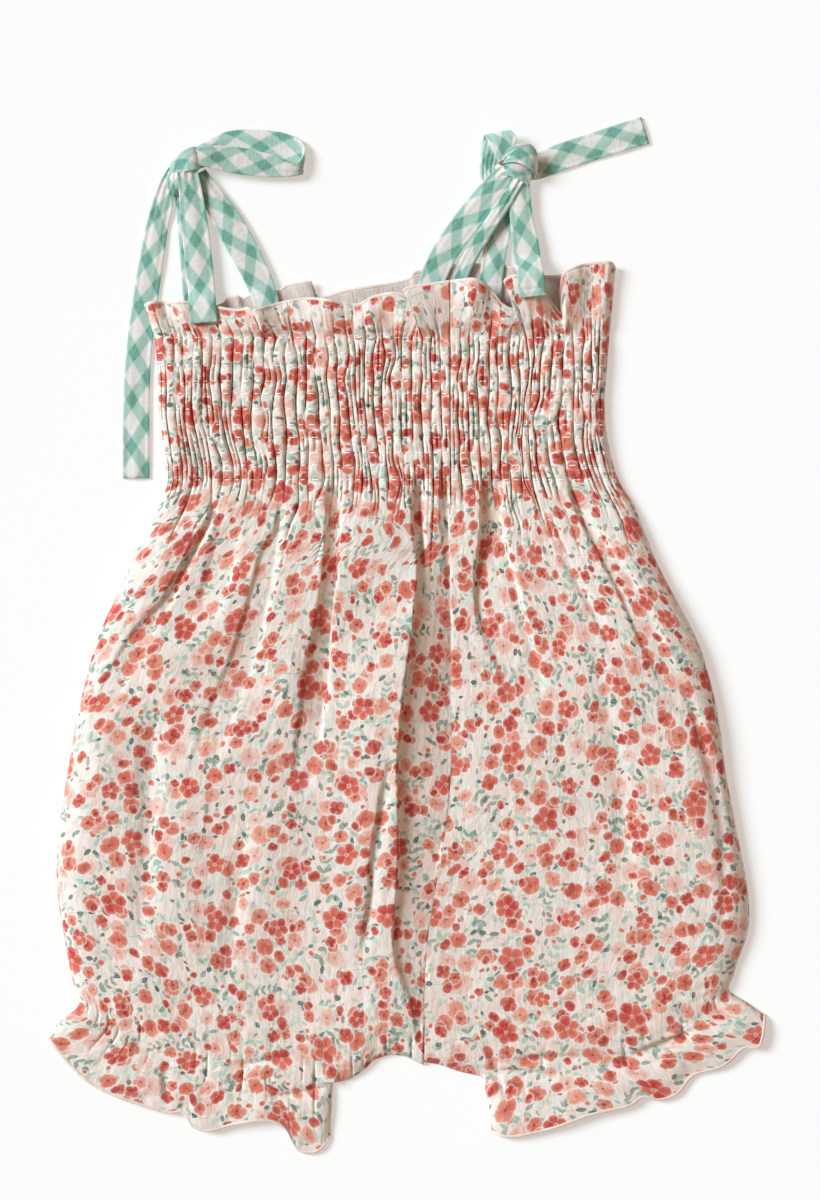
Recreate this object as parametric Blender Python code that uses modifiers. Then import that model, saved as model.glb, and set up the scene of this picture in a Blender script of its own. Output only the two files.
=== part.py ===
"""Baby's shirred bubble romper with tied shoulder straps, laid flat.

Two front halves lie on two back halves. Each half is one cut of cloth, from the ruffled top edge
through the shirred chest and the full body to the ruffled leg hem. Gingham ties are sewn to the
ruffle and knotted in a half bow on each shoulder.

Frame: +X to the right and +Y up the garment as it lies face up, +Z up. The origin is the middle of
the footprint, on the surface that the garment lies on. Sizes below are in millimetres.
"""

from collections import namedtuple

import bmesh
import bpy
import numpy as np
from mathutils import Vector
from mathutils.bvhtree import BVHTree

MM = 0.001

# ---------------------------------------------------------------- driving dimensions, mm

WALL = 1.2              # cloth's wall
GAP = 0.3               # between neighbouring pieces
LAYER = WALL + GAP      # one lying layer of cloth to the next
FRONT_FLOOR = LAYER     # underside of the front where it lies on the back
RUFFLE_FLOOR = 3.2      # underside of the front ruffle, over the ties that pass under it
HIGHEST_UNDERSIDE = 5.0  # of the front, so that the body stays a closed, flat hollow
SEAM_CLEARANCE = 0.2    # each half stops this far from the centre seam's line
SIDE_ROUNDING = 0.11    # share of a half's width over which its side seam curls down

FRONT_COLUMNS = 24      # strips of cloth across a front half; every second one is a gather's crest
BACK_COLUMNS = 12
LEG_SHARE = 0.73        # share of a half's width that ends in the leg hem; the rest is the crotch

TIE_WIDTH = 11.0
TIE_CLEARANCE = 0.45    # of a tie over the ruffle that it is sewn to
KNOT_RADIUS = 7.6
KNOT_HEIGHT = 8.6
KNOT_ROUNDING = 2.0
KNOT_SIDES = 24
LOOP_BEND = 1.2         # half the height of a bow loop's fold
LOOP_STATIONS = 7       # along each side of a bow loop
LOOP_BEND_STATIONS = 3  # round its fold
LOOP_UPPER_BELLY = 0.6  # how much the upper side of a bow loop curves, to the lower side's 1

FOLD_STEPS = 24         # along a fold's curve
FOLD_END = 0.12         # share of a half wave by which a fold's depth starts above nothing
STATION_STEPS = 3       # points of a tie's middle line to each of its stations
LANES = np.linspace(-1, 1, 9)    # across a tie, where its height over the front is tried
REACHES = np.linspace(-1, 1, 5)  # and from each of its points towards the ones before and after
SHARP_ANGLE = np.radians(40.0)   # between faces that aren't shaded as one surface

# ---------------------------------------------------------------- the body's sections

# One row per cross-section: where it meets the left side seam, the centre seam and the right side
# seam, how far the front puffs up there, and how high its gathers stand.
Section = namedtuple("Section", "name left_x left_y seam_x seam_y right_x right_y floor puff gather")

SECTIONS = (
    Section("first elastic", -105.2, 124.0, 18.7, 124.0, 85.5, 124.0, RUFFLE_FLOOR, 0.0, 1.2),
    Section("upper shirring", -104.0, 109.0, 18.7, 109.0, 84.4, 109.0, FRONT_FLOOR, 0.8, 1.5),
    Section("middle shirring", -103.6, 94.0, 18.7, 94.0, 83.6, 94.0, FRONT_FLOOR, 0.8, 1.5),
    Section("lower shirring", -101.5, 79.0, 18.7, 79.0, 85.3, 79.0, FRONT_FLOOR, 0.8, 1.5),
    Section("last elastic", -100.2, 64.5, 18.8, 64.5, 89.5, 64.5, FRONT_FLOOR, 0.9, 1.5),
    Section("release", -103.5, 53.0, 18.9, 53.0, 96.0, 54.0, FRONT_FLOOR, 1.6, 1.3),
    Section("below release", -109.0, 43.0, 19.0, 41.0, 100.5, 42.5, FRONT_FLOOR, 2.2, 0.9),
    Section("upper body", -115.5, 29.0, 19.2, 25.0, 106.5, 28.0, FRONT_FLOOR, 2.8, 0.5),
    Section("ribs", -122.8, 13.0, 19.4, 7.0, 115.0, 12.0, FRONT_FLOOR, 3.2, 0.2),
    Section("belly", -129.6, -2.5, 19.5, -13.0, 123.0, -4.0, FRONT_FLOOR, 3.4, 0.0),
    Section("lower belly", -134.2, -19.3, 19.5, -33.0, 128.3, -21.0, FRONT_FLOOR, 3.4, 0.0),
    Section("hip", -138.0, -36.1, 19.3, -53.0, 131.8, -38.0, FRONT_FLOOR, 3.4, 0.0),
    Section("lower hip", -141.5, -56.0, 18.0, -72.0, 134.2, -57.0, FRONT_FLOOR, 3.4, 0.0),
    Section("seat", -144.4, -74.0, 15.5, -90.0, 137.5, -75.0, FRONT_FLOOR, 3.4, 0.0),
    Section("widest", -146.2, -92.0, 12.4, -107.0, 141.0, -93.0, FRONT_FLOOR, 3.3, 0.0),
    Section("bubble", -146.1, -108.0, 9.8, -123.0, 143.8, -109.0, FRONT_FLOOR, 3.1, 0.0),
    Section("lower bubble", -143.8, -124.0, 8.3, -138.0, 143.8, -124.0, FRONT_FLOOR, 2.8, 0.2),
    Section("thigh", -140.9, -140.0, 7.8, -153.0, 139.2, -138.0, FRONT_FLOOR, 2.4, 0.5),
)

# The leg's elastic from the side seam inwards, then the crotch up to the centre seam.
LEG_ELASTIC = {
    "left": ((-137.1, -155.4), (-119.9, -167.2), (-103.1, -175.6), (-86.3, -181.4), (-59.0, -186.5),
             (-30.5, -188.6)),
    "right": ((135.9, -149.5), (123.7, -163.0), (106.9, -172.6), (90.1, -178.1), (69.1, -182.3),
              (33.4, -186.9)),
}
CROTCH = {
    "left": ((-23.3, -186.9), (-17.9, -183.5), (-12.8, -178.5), (-5.7, -176.4), (-0.2, -177.2),
             (7.6, -181.0)),
    "right": ((31.0, -185.4), (22.1, -183.5), (14.1, -180.6), (7.6, -179.6)),
}
LEG_RUFFLE = {
    "left": ((-151.0, -168.4), (-136.3, -184.8), (-123.3, -192.8), (-101.0, -200.3), (-93.5, -200.3),
             (-89.3, -206.2), (-82.1, -208.3), (-72.0, -205.4), (-59.0, -203.7), (-50.6, -207.1),
             (-46.4, -215.2), (-41.8, -217.6), (-35.9, -216.4), (-31.5, -210.8)),
    "right": ((151.0, -160.0), (148.5, -172.6), (141.8, -173.5), (133.4, -181.0), (120.8, -185.2),
              (114.5, -192.4), (106.9, -195.3), (99.3, -194.0), (93.5, -197.8), (77.1, -201.6),
              (60.3, -207.5), (43.9, -210.8), (36.3, -209.2)),
}

# The ruffled top edges, left to right, from a side seam to the centre seam and on.
TOP_RUFFLE = {
    ("front", "left"): ((-109.4, 139.0), (-91.8, 139.4), (-79.2, 136.9), (-64.5, 136.5), (-53.6, 139.0),
                        (-40.1, 140.7), (-30.5, 139.4), (-20.4, 137.3), (-12.0, 141.5), (5.7, 145.3),
                        (18.7, 147.8)),
    ("front", "right"): ((18.7, 147.8), (29.6, 147.0), (35.5, 142.8), (39.3, 138.2), (46.0, 134.8),
                         (52.0, 141.5), (57.8, 141.5), (62.0, 136.0), (67.4, 151.0), (77.9, 155.4),
                         (88.0, 155.0)),
    ("back", "left"): ((-102.6, 137.0), (-78.3, 137.4), (-71.2, 142.4), (-63.6, 140.3), (-52.3, 144.1),
                       (-48.5, 146.6), (-38.4, 147.4), (-35.9, 141.1), (-22.9, 144.9), (-9.0, 147.0),
                       (1.5, 149.1), (5.0, 152.2), (18.7, 154.8)),
    ("back", "right"): ((18.7, 154.8), (27.9, 155.1), (41.4, 154.3), (46.0, 153.3), (57.3, 150.4),
                        (66.2, 150.8), (76.0, 153.6), (85.4, 153.4)),
}

# Soft troughs of the front: a row per fold, a line through three places, with the trough's
# half-width and depth.
Fold = namedtuple("Fold", "name top_x top_y mid_x mid_y end_x end_y half_width depth")

FOLDS = (
    Fold("centre trough", 8.5, 25.0, 11.0, -50.0, 5.5, -150.0, 10.0, 2.8),
    Fold("left of centre", -31.0, 54.0, -31.5, 8.0, -44.0, -62.0, 5.0, 2.0),
    Fold("left middle", -54.0, 50.0, -60.0, 16.0, -86.0, -66.0, 6.0, 1.8),
    Fold("left side", -82.0, 50.0, -98.0, 16.0, -130.0, -28.0, 6.0, 1.6),
    Fold("right of centre", 35.5, 60.0, 40.0, 24.0, 50.0, -32.0, 5.0, 1.8),
    Fold("right middle", 78.0, 52.0, 92.0, 20.0, 112.0, -28.0, 6.0, 1.8),
)

# ---------------------------------------------------------------- the ties

# One row per station of a tie's middle line, from the knot to its end, with its height in lying
# layers of cloth. A tie that is sewn to the front lies on the front's own points.
Tie = namedtuple("Tie", "name width on_front stations")

TIES = (
    Tie("tie_left_front", TIE_WIDTH, True,
        ((-90.4, 188.7, 2), (-88.0, 172.0, 2), (-86.2, 153.0, 2), (-85.0, 140.0, 2), (-84.6, 131.0, 2))),
    Tie("tie_left_back", TIE_WIDTH, False,
        ((-85.2, 189.6, 1), (-75.0, 174.0, 1), (-69.0, 161.0, 1), (-61.8, 148.7, 1), (-58.4, 140.0, 1),
         (-57.4, 133.0, 1))),
    Tie("tie_left_under", TIE_WIDTH, False,
        ((-89.8, 187.8, 0), (-89.9, 172.0, 0), (-89.8, 158.0, 0), (-89.5, 148.0, 0.4), (-89.0, 139.0, 1),
         (-88.6, 132.0, 1))),
    Tie("tie_left_tail", 10.4, False,
        ((-98.4, 190.0, 1.0), (-102.4, 180.0, 0.9), (-104.4, 171.0, 0.1), (-105.9, 161.3, 0), (-107.3, 152.9, 0),
         (-109.2, 140.3, 0), (-111.4, 123.5, 0), (-112.4, 111.0, 0), (-112.9, 98.3, 0),
         (-113.1, 81.5, 0), (-113.0, 64.7, 0))),
    Tie("tie_right_front", TIE_WIDTH, True,
        ((47.2, 187.2, 3), (48.4, 176.0, 3), (50.4, 164.0, 3), (51.9, 152.9, 3), (52.3, 139.6, 3))),
    Tie("tie_right_back", TIE_WIDTH, False,
        ((38.4, 190.4, 1), (26.3, 173.9, 1), (17.0, 161.3, 1), (12.4, 150.8, 1), (10.3, 142.4, 1),
         (9.5, 133.0, 1))),
    Tie("tie_right_twist", 5.4, False,
        ((43.6, 186.9, 2), (33.4, 168.6, 2), (27.6, 160.0, 1.8), (24.4, 152.9, 1.2), (22.4, 145.0, 1),
         (21.6, 134.0, 1))),
    Tie("tie_right_under", 9.6, False,
        ((44.8, 186.4, 0), (40.4, 171.8, 0.2), (37.4, 161.3, 0.9), (36.2, 152.0, 1), (35.6, 144.0, 1),
         (35.2, 133.0, 1))),
    Tie("tie_right_tail", TIE_WIDTH, False,
        ((55.6, 196.4, 0), (66.0, 200.2, 0), (77.0, 203.9, 0), (88.6, 207.8, 0), (100.4, 211.3, 0))),
)

# A bow loop leaves the knot at its base, folds at its tip and comes back underneath to its end.
Loop = namedtuple("Loop", "name width base_x base_y tip_x tip_y end_x end_y belly")

LOOPS = (
    Loop("tie_left_loop", 12.6, -83.2, 200.0, -43.2, 200.4, -83.2, 201.6, 4.4),
    Loop("tie_right_loop", 9.2, 41.0, 203.4, 37.8, 209.2, 33.6, 191.4, 0.0),
)

KNOTS = {"tie_left_knot": (-91.2, 196.8), "tie_right_knot": (47.2, 195.6)}

# ---------------------------------------------------------------- colours

PRINT_CLOTH = ("floral cotton", (0.78, 0.55, 0.48, 1.0), 0.85)
GINGHAM_CLOTH = ("gingham cotton", (0.50, 0.74, 0.65, 1.0), 0.8)


def clear_scene():
    """Remove every object that the scene starts with."""
    for stray in list(bpy.data.objects):
        bpy.data.objects.remove(stray, do_unlink=True)


def cloth_material(name, colour, roughness):
    material = bpy.data.materials.new(name)
    material.use_nodes = True
    shader = material.node_tree.nodes["Principled BSDF"]
    shader.inputs["Base Color"].default_value = colour
    shader.inputs["Roughness"].default_value = roughness
    shader.inputs["Metallic"].default_value = 0.0
    material.diffuse_color = colour
    return material


def cloth_object(name, points, quads, material, collection, offset):
    """A sheet of quads with the cloth's wall. Points are in millimetres."""
    mesh = bpy.data.meshes.new(name)
    mesh.from_pydata((np.asarray(points) * MM).tolist(), [], [tuple(map(int, quad)) for quad in quads])
    mesh.materials.append(material)
    mesh.shade_smooth()
    mesh.set_sharp_from_angle(angle=SHARP_ANGLE)
    sheet = bpy.data.objects.new(name, mesh)
    collection.objects.link(sheet)
    wall = sheet.modifiers.new("cloth wall", "SOLIDIFY")
    wall.thickness = WALL * MM
    wall.offset = offset
    return sheet


def grid_quads(present):
    """Quads of a grid of rows and columns, where every corner is present."""
    index = np.cumsum(present.ravel()).reshape(present.shape) - 1
    whole = present[:-1, :-1] & present[1:, :-1] & present[1:, 1:] & present[:-1, 1:]
    rows, columns = np.nonzero(whole)
    return np.column_stack((index[rows, columns], index[rows + 1, columns],
                            index[rows + 1, columns + 1], index[rows, columns + 1]))


def along(line, shares):
    """Points at these shares of a broken line's length."""
    line = np.asarray(line, float)
    reach = np.concatenate(([0.0], np.cumsum(np.linalg.norm(np.diff(line, axis=0), axis=1))))
    return np.column_stack([np.interp(np.asarray(shares) * reach[-1], reach, axis) for axis in line.T])


def curve_through(stations, count):
    """Catmull-Rom curve through the stations, at this many evenly numbered places."""
    stations = np.asarray(stations, float)
    padded = np.vstack((2 * stations[0] - stations[1], stations, 2 * stations[-1] - stations[-2]))
    place = np.linspace(0, len(stations) - 1, count)
    first = np.minimum(place.astype(int), len(stations) - 2)
    t = (place - first)[:, None]
    a, b, c, d = (padded[first + step] for step in range(4))
    return 0.5 * (2 * b + (c - a) * t + (2 * a - 5 * b + 4 * c - d) * t ** 2 + (3 * b - a - 3 * c + d) * t ** 3)


def fold_depth(x, y):
    """How far the folds' troughs press the cloth down at each point."""
    depth = np.zeros_like(x)
    for fold in FOLDS:
        places = ((fold.top_x, fold.top_y), (fold.mid_x, fold.mid_y), (fold.end_x, fold.end_y))
        line = curve_through(places, FOLD_STEPS + 1)
        away = np.hypot(x[..., None] - line[:, 0], y[..., None] - line[:, 1])
        nearest = away.argmin(axis=-1)
        fade = np.sin(np.pi * (FOLD_END + (1 - 2 * FOLD_END) * nearest / FOLD_STEPS))
        depth = np.maximum(depth, fold.depth * fade * np.exp(-(away.min(axis=-1) / fold.half_width) ** 2))
    return depth


def half_outline(face, side, columns):
    """Rows of (x, y) points of one half, from the top ruffle's edge to the leg ruffle's edge.

    Columns run from the side seam (0) to the centre seam (1). The leg ruffle's two rows end where
    the crotch starts.
    """
    shares = np.linspace(0, 1, columns + 1)
    leg_columns = round(LEG_SHARE * columns)
    top = along(TOP_RUFFLE[face, side] if side == "left" else TOP_RUFFLE[face, side][::-1], shares)
    rows = []
    for section in SECTIONS:
        at_side = (section.left_x, section.left_y) if side == "left" else (section.right_x, section.right_y)
        rows.append(along((at_side, (section.seam_x, section.seam_y)), shares))
    rows.insert(0, (top + rows[0]) / 2)
    rows.insert(0, top)
    leg = along(LEG_ELASTIC[side], np.linspace(0, 1, leg_columns + 1))
    crotch = along((LEG_ELASTIC[side][-1],) + CROTCH[side], np.linspace(0, 1, columns - leg_columns + 1))
    hem = np.vstack((leg, crotch[1:]))
    rows.append((rows[-1] + hem) / 2)
    rows.append(hem)
    ruffle = along(LEG_RUFFLE[side], np.linspace(0, 1, leg_columns + 1))
    beyond = np.full_like(hem, np.nan)
    beyond[:leg_columns + 1] = ruffle
    rows.append((hem + beyond) / 2)
    rows.append(beyond)
    outline = np.array(rows)
    outline[:, -1, 0] += SEAM_CLEARANCE * (-1 if side == "left" else 1)
    return outline, shares


def section_heights():
    """Floor, puff and gather height of every row of half_outline, in its order."""
    body = [(section.floor, section.puff, section.gather) for section in SECTIONS]
    ruffle_edge = (RUFFLE_FLOOR, 0.2, 1.5)
    ruffle_middle = (RUFFLE_FLOOR, 0.0, 1.4)
    above_hem = (FRONT_FLOOR, 1.9, 1.0)
    hem = (FRONT_FLOOR, 0.6, 1.4)
    leg_ruffle = (FRONT_FLOOR, 1.0, 1.9)
    return np.array([ruffle_edge, ruffle_middle] + body + [above_hem, hem, leg_ruffle, leg_ruffle])


def half_panel(face, side, material, collection):
    """One cut of cloth: a flat back half, or a front half with its puff, gathers and folds."""
    columns = FRONT_COLUMNS if face == "front" else BACK_COLUMNS
    outline, shares = half_outline(face, side, columns)
    height = np.zeros(outline.shape[:2])
    if face == "front":
        floor, puff, gather = section_heights().T[:, :, None]
        crest = np.arange(columns + 1) % 2
        rounding = np.sin(np.pi / 2 * np.clip(shares / SIDE_ROUNDING, 0, 1))
        lift = (floor - FRONT_FLOOR + puff + gather * crest) * rounding
        height = FRONT_FLOOR + lift - fold_depth(outline[..., 0], outline[..., 1])
        height[:, -1] = height[:, -2]
        height = np.clip(height, FRONT_FLOOR, HIGHEST_UNDERSIDE)
    present = ~np.isnan(outline[..., 0])
    points = np.dstack((outline, height))
    if side == "right":
        points, present = points[:, ::-1], present[:, ::-1]
    return cloth_object(f"{face}_{side}", points[present], grid_quads(present), material, collection, 1.0)


def highest_under(trees, x, y):
    """Top of the panels at one place, or the surface that the garment lies on."""
    hits = [tree.ray_cast(Vector((x * MM, y * MM, 1.0)), Vector((0, 0, -1)))[0] for tree in trees]
    return max([hit.z / MM for hit in hits if hit is not None], default=-GAP)


def ribbon(name, centres, across, material, collection):
    """A flat strip: its middle line and, at each station, the vector from that line to its edge."""
    edges = np.stack((centres - across, centres + across), axis=1)
    quads = grid_quads(np.ones(edges.shape[:2], bool))
    return cloth_object(name, edges.reshape(-1, 3), quads, material, collection, 0.0)


def level_height(level):
    """Height of a strip's middle in its lying layer."""
    return WALL / 2 + LAYER * level


def square_to(heading):
    """The heading turned a quarter to the left."""
    return np.array((-heading[1], heading[0]))


def add_tie(tie, trees, material, collection):
    """A tie stretch: its strip is square to its line, and lies on what is under it."""
    centres = curve_through(tie.stations, STATION_STEPS * len(tie.stations))
    centres[:, 2] = level_height(np.maximum(centres[:, 2], 0.0))
    heading = np.gradient(centres[:, :2], axis=0)
    heading /= np.linalg.norm(heading, axis=1)[:, None]
    across = np.column_stack((-heading[:, 1], heading[:, 0], np.zeros(len(centres)))) * tie.width / 2
    if tie.on_front:
        station_step = np.gradient(centres[:, :2], axis=0)
        for centre, edge, step in zip(centres, across, station_step):
            under = max(highest_under(trees, *(centre[:2] + edge[:2] * lane + step * reach))
                        for lane in LANES for reach in REACHES)
            centre[2] = max(centre[2], under + TIE_CLEARANCE + WALL / 2)
    return ribbon(tie.name, centres, across, material, collection)


def add_loop(loop, material, collection):
    """A bow loop: out along the upper side, round the fold at the tip, and back underneath."""
    base = np.array((loop.base_x, loop.base_y))
    tip = np.array((loop.tip_x, loop.tip_y))
    end = np.array((loop.end_x, loop.end_y))
    outward = (tip - base) / np.linalg.norm(tip - base)
    inward = (tip - end) / np.linalg.norm(tip - end)
    at_tip = (outward + inward) / np.linalg.norm(outward + inward)
    run = np.linspace(0, 1, LOOP_STATIONS)[:, None]
    bow = loop.belly * np.sin(np.pi * run)
    upper = base + (tip - base) * run - LOOP_UPPER_BELLY * bow * square_to(outward)
    lower = tip + (end - tip) * run + bow * square_to(inward)
    turn = np.pi / 2 - np.pi * np.linspace(0, 1, LOOP_BEND_STATIONS + 2)[1:-1]
    bend = tip + LOOP_BEND * np.cos(turn)[:, None] * at_tip
    bottom = level_height(0)
    heights = np.concatenate((np.full(LOOP_STATIONS, bottom + 2 * LOOP_BEND),
                              bottom + LOOP_BEND * (1 + np.sin(turn)), np.full(LOOP_STATIONS, bottom)))
    centres = np.column_stack((np.vstack((upper, bend, lower)), heights))
    sides = np.vstack((np.tile(square_to(outward), (LOOP_STATIONS, 1)),
                       np.tile(square_to(at_tip), (LOOP_BEND_STATIONS, 1)),
                       np.tile(square_to(inward), (LOOP_STATIONS, 1))))
    across = np.column_stack((sides, np.zeros(len(sides)))) * loop.width / 2
    return ribbon(loop.name, centres, across, material, collection)


def add_knot(name, place, material, collection):
    """The wound knot, as a pill with rounded rims."""
    mesh = bpy.data.meshes.new(name)
    form = bmesh.new()
    bmesh.ops.create_cone(form, cap_ends=True, segments=KNOT_SIDES, radius1=KNOT_RADIUS * MM,
                          radius2=KNOT_RADIUS * MM, depth=KNOT_HEIGHT * MM)
    form.to_mesh(mesh)
    form.free()
    mesh.materials.append(material)
    mesh.shade_smooth()
    mesh.set_sharp_from_angle(angle=SHARP_ANGLE)
    knot = bpy.data.objects.new(name, mesh)
    knot.location = Vector((place[0], place[1], KNOT_HEIGHT / 2)) * MM
    collection.objects.link(knot)
    rims = knot.modifiers.new("rounded rims", "BEVEL")
    rims.width = KNOT_ROUNDING * MM
    rims.segments = 3
    rims.limit_method = "ANGLE"
    rims.angle_limit = np.radians(60.0)
    return knot


def main():
    clear_scene()
    collection = bpy.data.collections.new("bubble romper")
    bpy.context.scene.collection.children.link(collection)
    print_cloth = cloth_material(*PRINT_CLOTH)
    gingham = cloth_material(*GINGHAM_CLOTH)
    panels = {(face, side): half_panel(face, side, print_cloth, collection)
              for face in ("back", "front") for side in ("left", "right")}
    bpy.context.view_layer.update()
    depsgraph = bpy.context.evaluated_depsgraph_get()
    fronts = [BVHTree.FromObject(panels["front", side], depsgraph) for side in ("left", "right")]
    for tie in TIES:
        add_tie(tie, fronts, gingham, collection)
    for loop in LOOPS:
        add_loop(loop, gingham, collection)
    for name, place in KNOTS.items():
        add_knot(name, place, gingham, collection)


main()
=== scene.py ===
"""Looks of a baby's shirred bubble romper that lies flat: printed cloth, gingham ties and stitches.

The solids of the frame say where each piece lies. Here each gets its real surface: thin cloth with
its gathers, folds and ruffles, ties with their knots, rolled hems, elastic thread and finishes.
Sizes are in millimetres, in the frame's own axes: +X right and +Y up the garment as it lies face
up, +Z up from the floor.
"""

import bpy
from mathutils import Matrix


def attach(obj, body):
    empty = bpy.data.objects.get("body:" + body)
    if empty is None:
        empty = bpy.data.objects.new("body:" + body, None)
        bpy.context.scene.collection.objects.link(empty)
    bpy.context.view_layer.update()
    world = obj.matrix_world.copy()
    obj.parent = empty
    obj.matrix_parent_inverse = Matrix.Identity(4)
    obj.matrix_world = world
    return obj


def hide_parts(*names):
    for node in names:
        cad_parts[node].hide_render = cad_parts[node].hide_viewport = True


bl_info = {
    "name": "Bubble Romper",
    "version": (1, 0, 0),
    "blender": (4, 5, 0),
    "location": "3D View > Sidebar > Romper",
    "description": "A baby's shirred bubble romper laid flat, with gingham shoulder ties",
    "category": "Add Mesh",
}

from collections import namedtuple
from types import SimpleNamespace

import bmesh
import bpy
import numpy as np
from bpy.props import FloatProperty, FloatVectorProperty, PointerProperty
from mathutils import Vector
from mathutils.bvhtree import BVHTree

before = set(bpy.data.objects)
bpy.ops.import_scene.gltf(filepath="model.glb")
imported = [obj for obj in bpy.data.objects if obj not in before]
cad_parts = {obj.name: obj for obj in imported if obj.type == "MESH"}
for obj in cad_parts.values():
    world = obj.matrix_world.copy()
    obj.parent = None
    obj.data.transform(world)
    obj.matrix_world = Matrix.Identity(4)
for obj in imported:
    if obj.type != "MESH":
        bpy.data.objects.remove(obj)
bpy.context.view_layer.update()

MM = 0.001
UV_NAME = "cloth"       # UV map of every cloth piece, in metres along the cloth
BODY = "root"

# ---------------------------------------------------------------- the halves' cut, mm

# One row per cross-section: where it meets the left side seam, the centre seam and the right side
# seam, and how high the front's crests stand there.
Section = namedtuple("Section", "name left_x left_y seam_x seam_y right_x right_y crest")

SECTIONS = (
    Section("first elastic", -105.2, 124.0, 18.7, 124.0, 85.5, 124.0, 5.8),
    Section("upper shirring", -104.0, 109.0, 18.7, 109.0, 84.4, 109.0, 6.4),
    Section("middle shirring", -103.6, 94.0, 18.7, 94.0, 83.6, 94.0, 6.7),
    Section("lower shirring", -101.5, 79.0, 18.7, 79.0, 85.3, 79.0, 6.7),
    Section("last elastic", -100.2, 64.5, 18.8, 64.5, 89.5, 64.5, 6.6),
    Section("release", -103.5, 53.0, 18.9, 53.0, 96.0, 54.0, 7.2),
    Section("below release", -109.0, 43.0, 19.0, 41.0, 100.5, 42.5, 8.8),
    Section("upper body", -115.5, 29.0, 19.2, 25.0, 106.5, 28.0, 10.2),
    Section("ribs", -122.8, 13.0, 19.4, 7.0, 115.0, 12.0, 11.1),
    Section("belly", -129.6, -2.5, 19.5, -13.0, 123.0, -4.0, 11.6),
    Section("lower belly", -134.2, -19.3, 19.5, -33.0, 128.3, -21.0, 11.9),
    Section("hip", -138.0, -36.1, 19.3, -53.0, 131.8, -38.0, 12.0),
    Section("lower hip", -141.5, -56.0, 18.0, -72.0, 134.2, -57.0, 11.9),
    Section("seat", -144.4, -74.0, 15.5, -90.0, 137.5, -75.0, 11.5),
    Section("widest", -146.2, -92.0, 12.4, -107.0, 141.0, -93.0, 10.9),
    Section("bubble", -146.1, -108.0, 9.8, -123.0, 143.8, -109.0, 10.2),
    Section("lower bubble", -143.8, -124.0, 8.3, -138.0, 143.8, -124.0, 9.0),
    Section("thigh", -140.9, -140.0, 7.8, -153.0, 139.2, -138.0, 7.8),
)
CRESTS_BELOW = (6.2, 4.2, 4.8, 3.8)   # above the hem, hem, middle and edge of the leg ruffle
# Numbers of control rows.
FIRST_ELASTIC, LAST_ELASTIC, LOWER_HIP, THIGH, HEM, LEG_EDGE = 2, 6, 14, 19, 21, 23

# The leg's elastic from the side seam inwards, then the crotch up to the centre seam.
LEG_ELASTIC = {
    "left": ((-137.1, -155.4), (-119.9, -167.2), (-103.1, -175.6), (-86.3, -181.4), (-59.0, -186.5),
             (-30.5, -188.6)),
    "right": ((135.9, -149.5), (123.7, -163.0), (106.9, -172.6), (90.1, -178.1), (69.1, -182.3),
              (33.4, -186.9)),
}
CROTCH = {
    "left": ((-23.3, -186.9), (-17.9, -183.5), (-12.8, -178.5), (-5.7, -176.4), (-0.2, -177.2),
             (7.6, -181.0)),
    "right": ((31.0, -185.4), (22.1, -183.5), (14.1, -180.6), (7.6, -179.6)),
}
LEG_RUFFLE = {
    "left": ((-151.0, -168.4), (-136.3, -184.8), (-123.3, -192.8), (-101.0, -200.3), (-93.5, -200.3),
             (-89.3, -206.2), (-82.1, -208.3), (-72.0, -205.4), (-59.0, -203.7), (-50.6, -207.1),
             (-46.4, -215.2), (-41.8, -217.6), (-35.9, -216.4), (-31.5, -210.8)),
    "right": ((151.0, -160.0), (148.5, -172.6), (141.8, -173.5), (133.4, -181.0), (120.8, -185.2),
              (114.5, -192.4), (106.9, -195.3), (99.3, -194.0), (93.5, -197.8), (77.1, -201.6),
              (60.3, -207.5), (43.9, -210.8), (36.3, -209.2)),
}
LEG_SHARE = 0.75        # share of a half's width that ends in the leg hem; the rest is the crotch
BACK_LEG_INSET = 2.0    # how much shorter the back's leg ruffle is, so that the front's covers it

# The ruffled top edges from a side seam to the centre seam: share of the half's width, then the
# place and height of the edge. Steps back in x or down in y are hooks and notches of the ruffle.
Edge = namedtuple("Edge", "share x y z")

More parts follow.
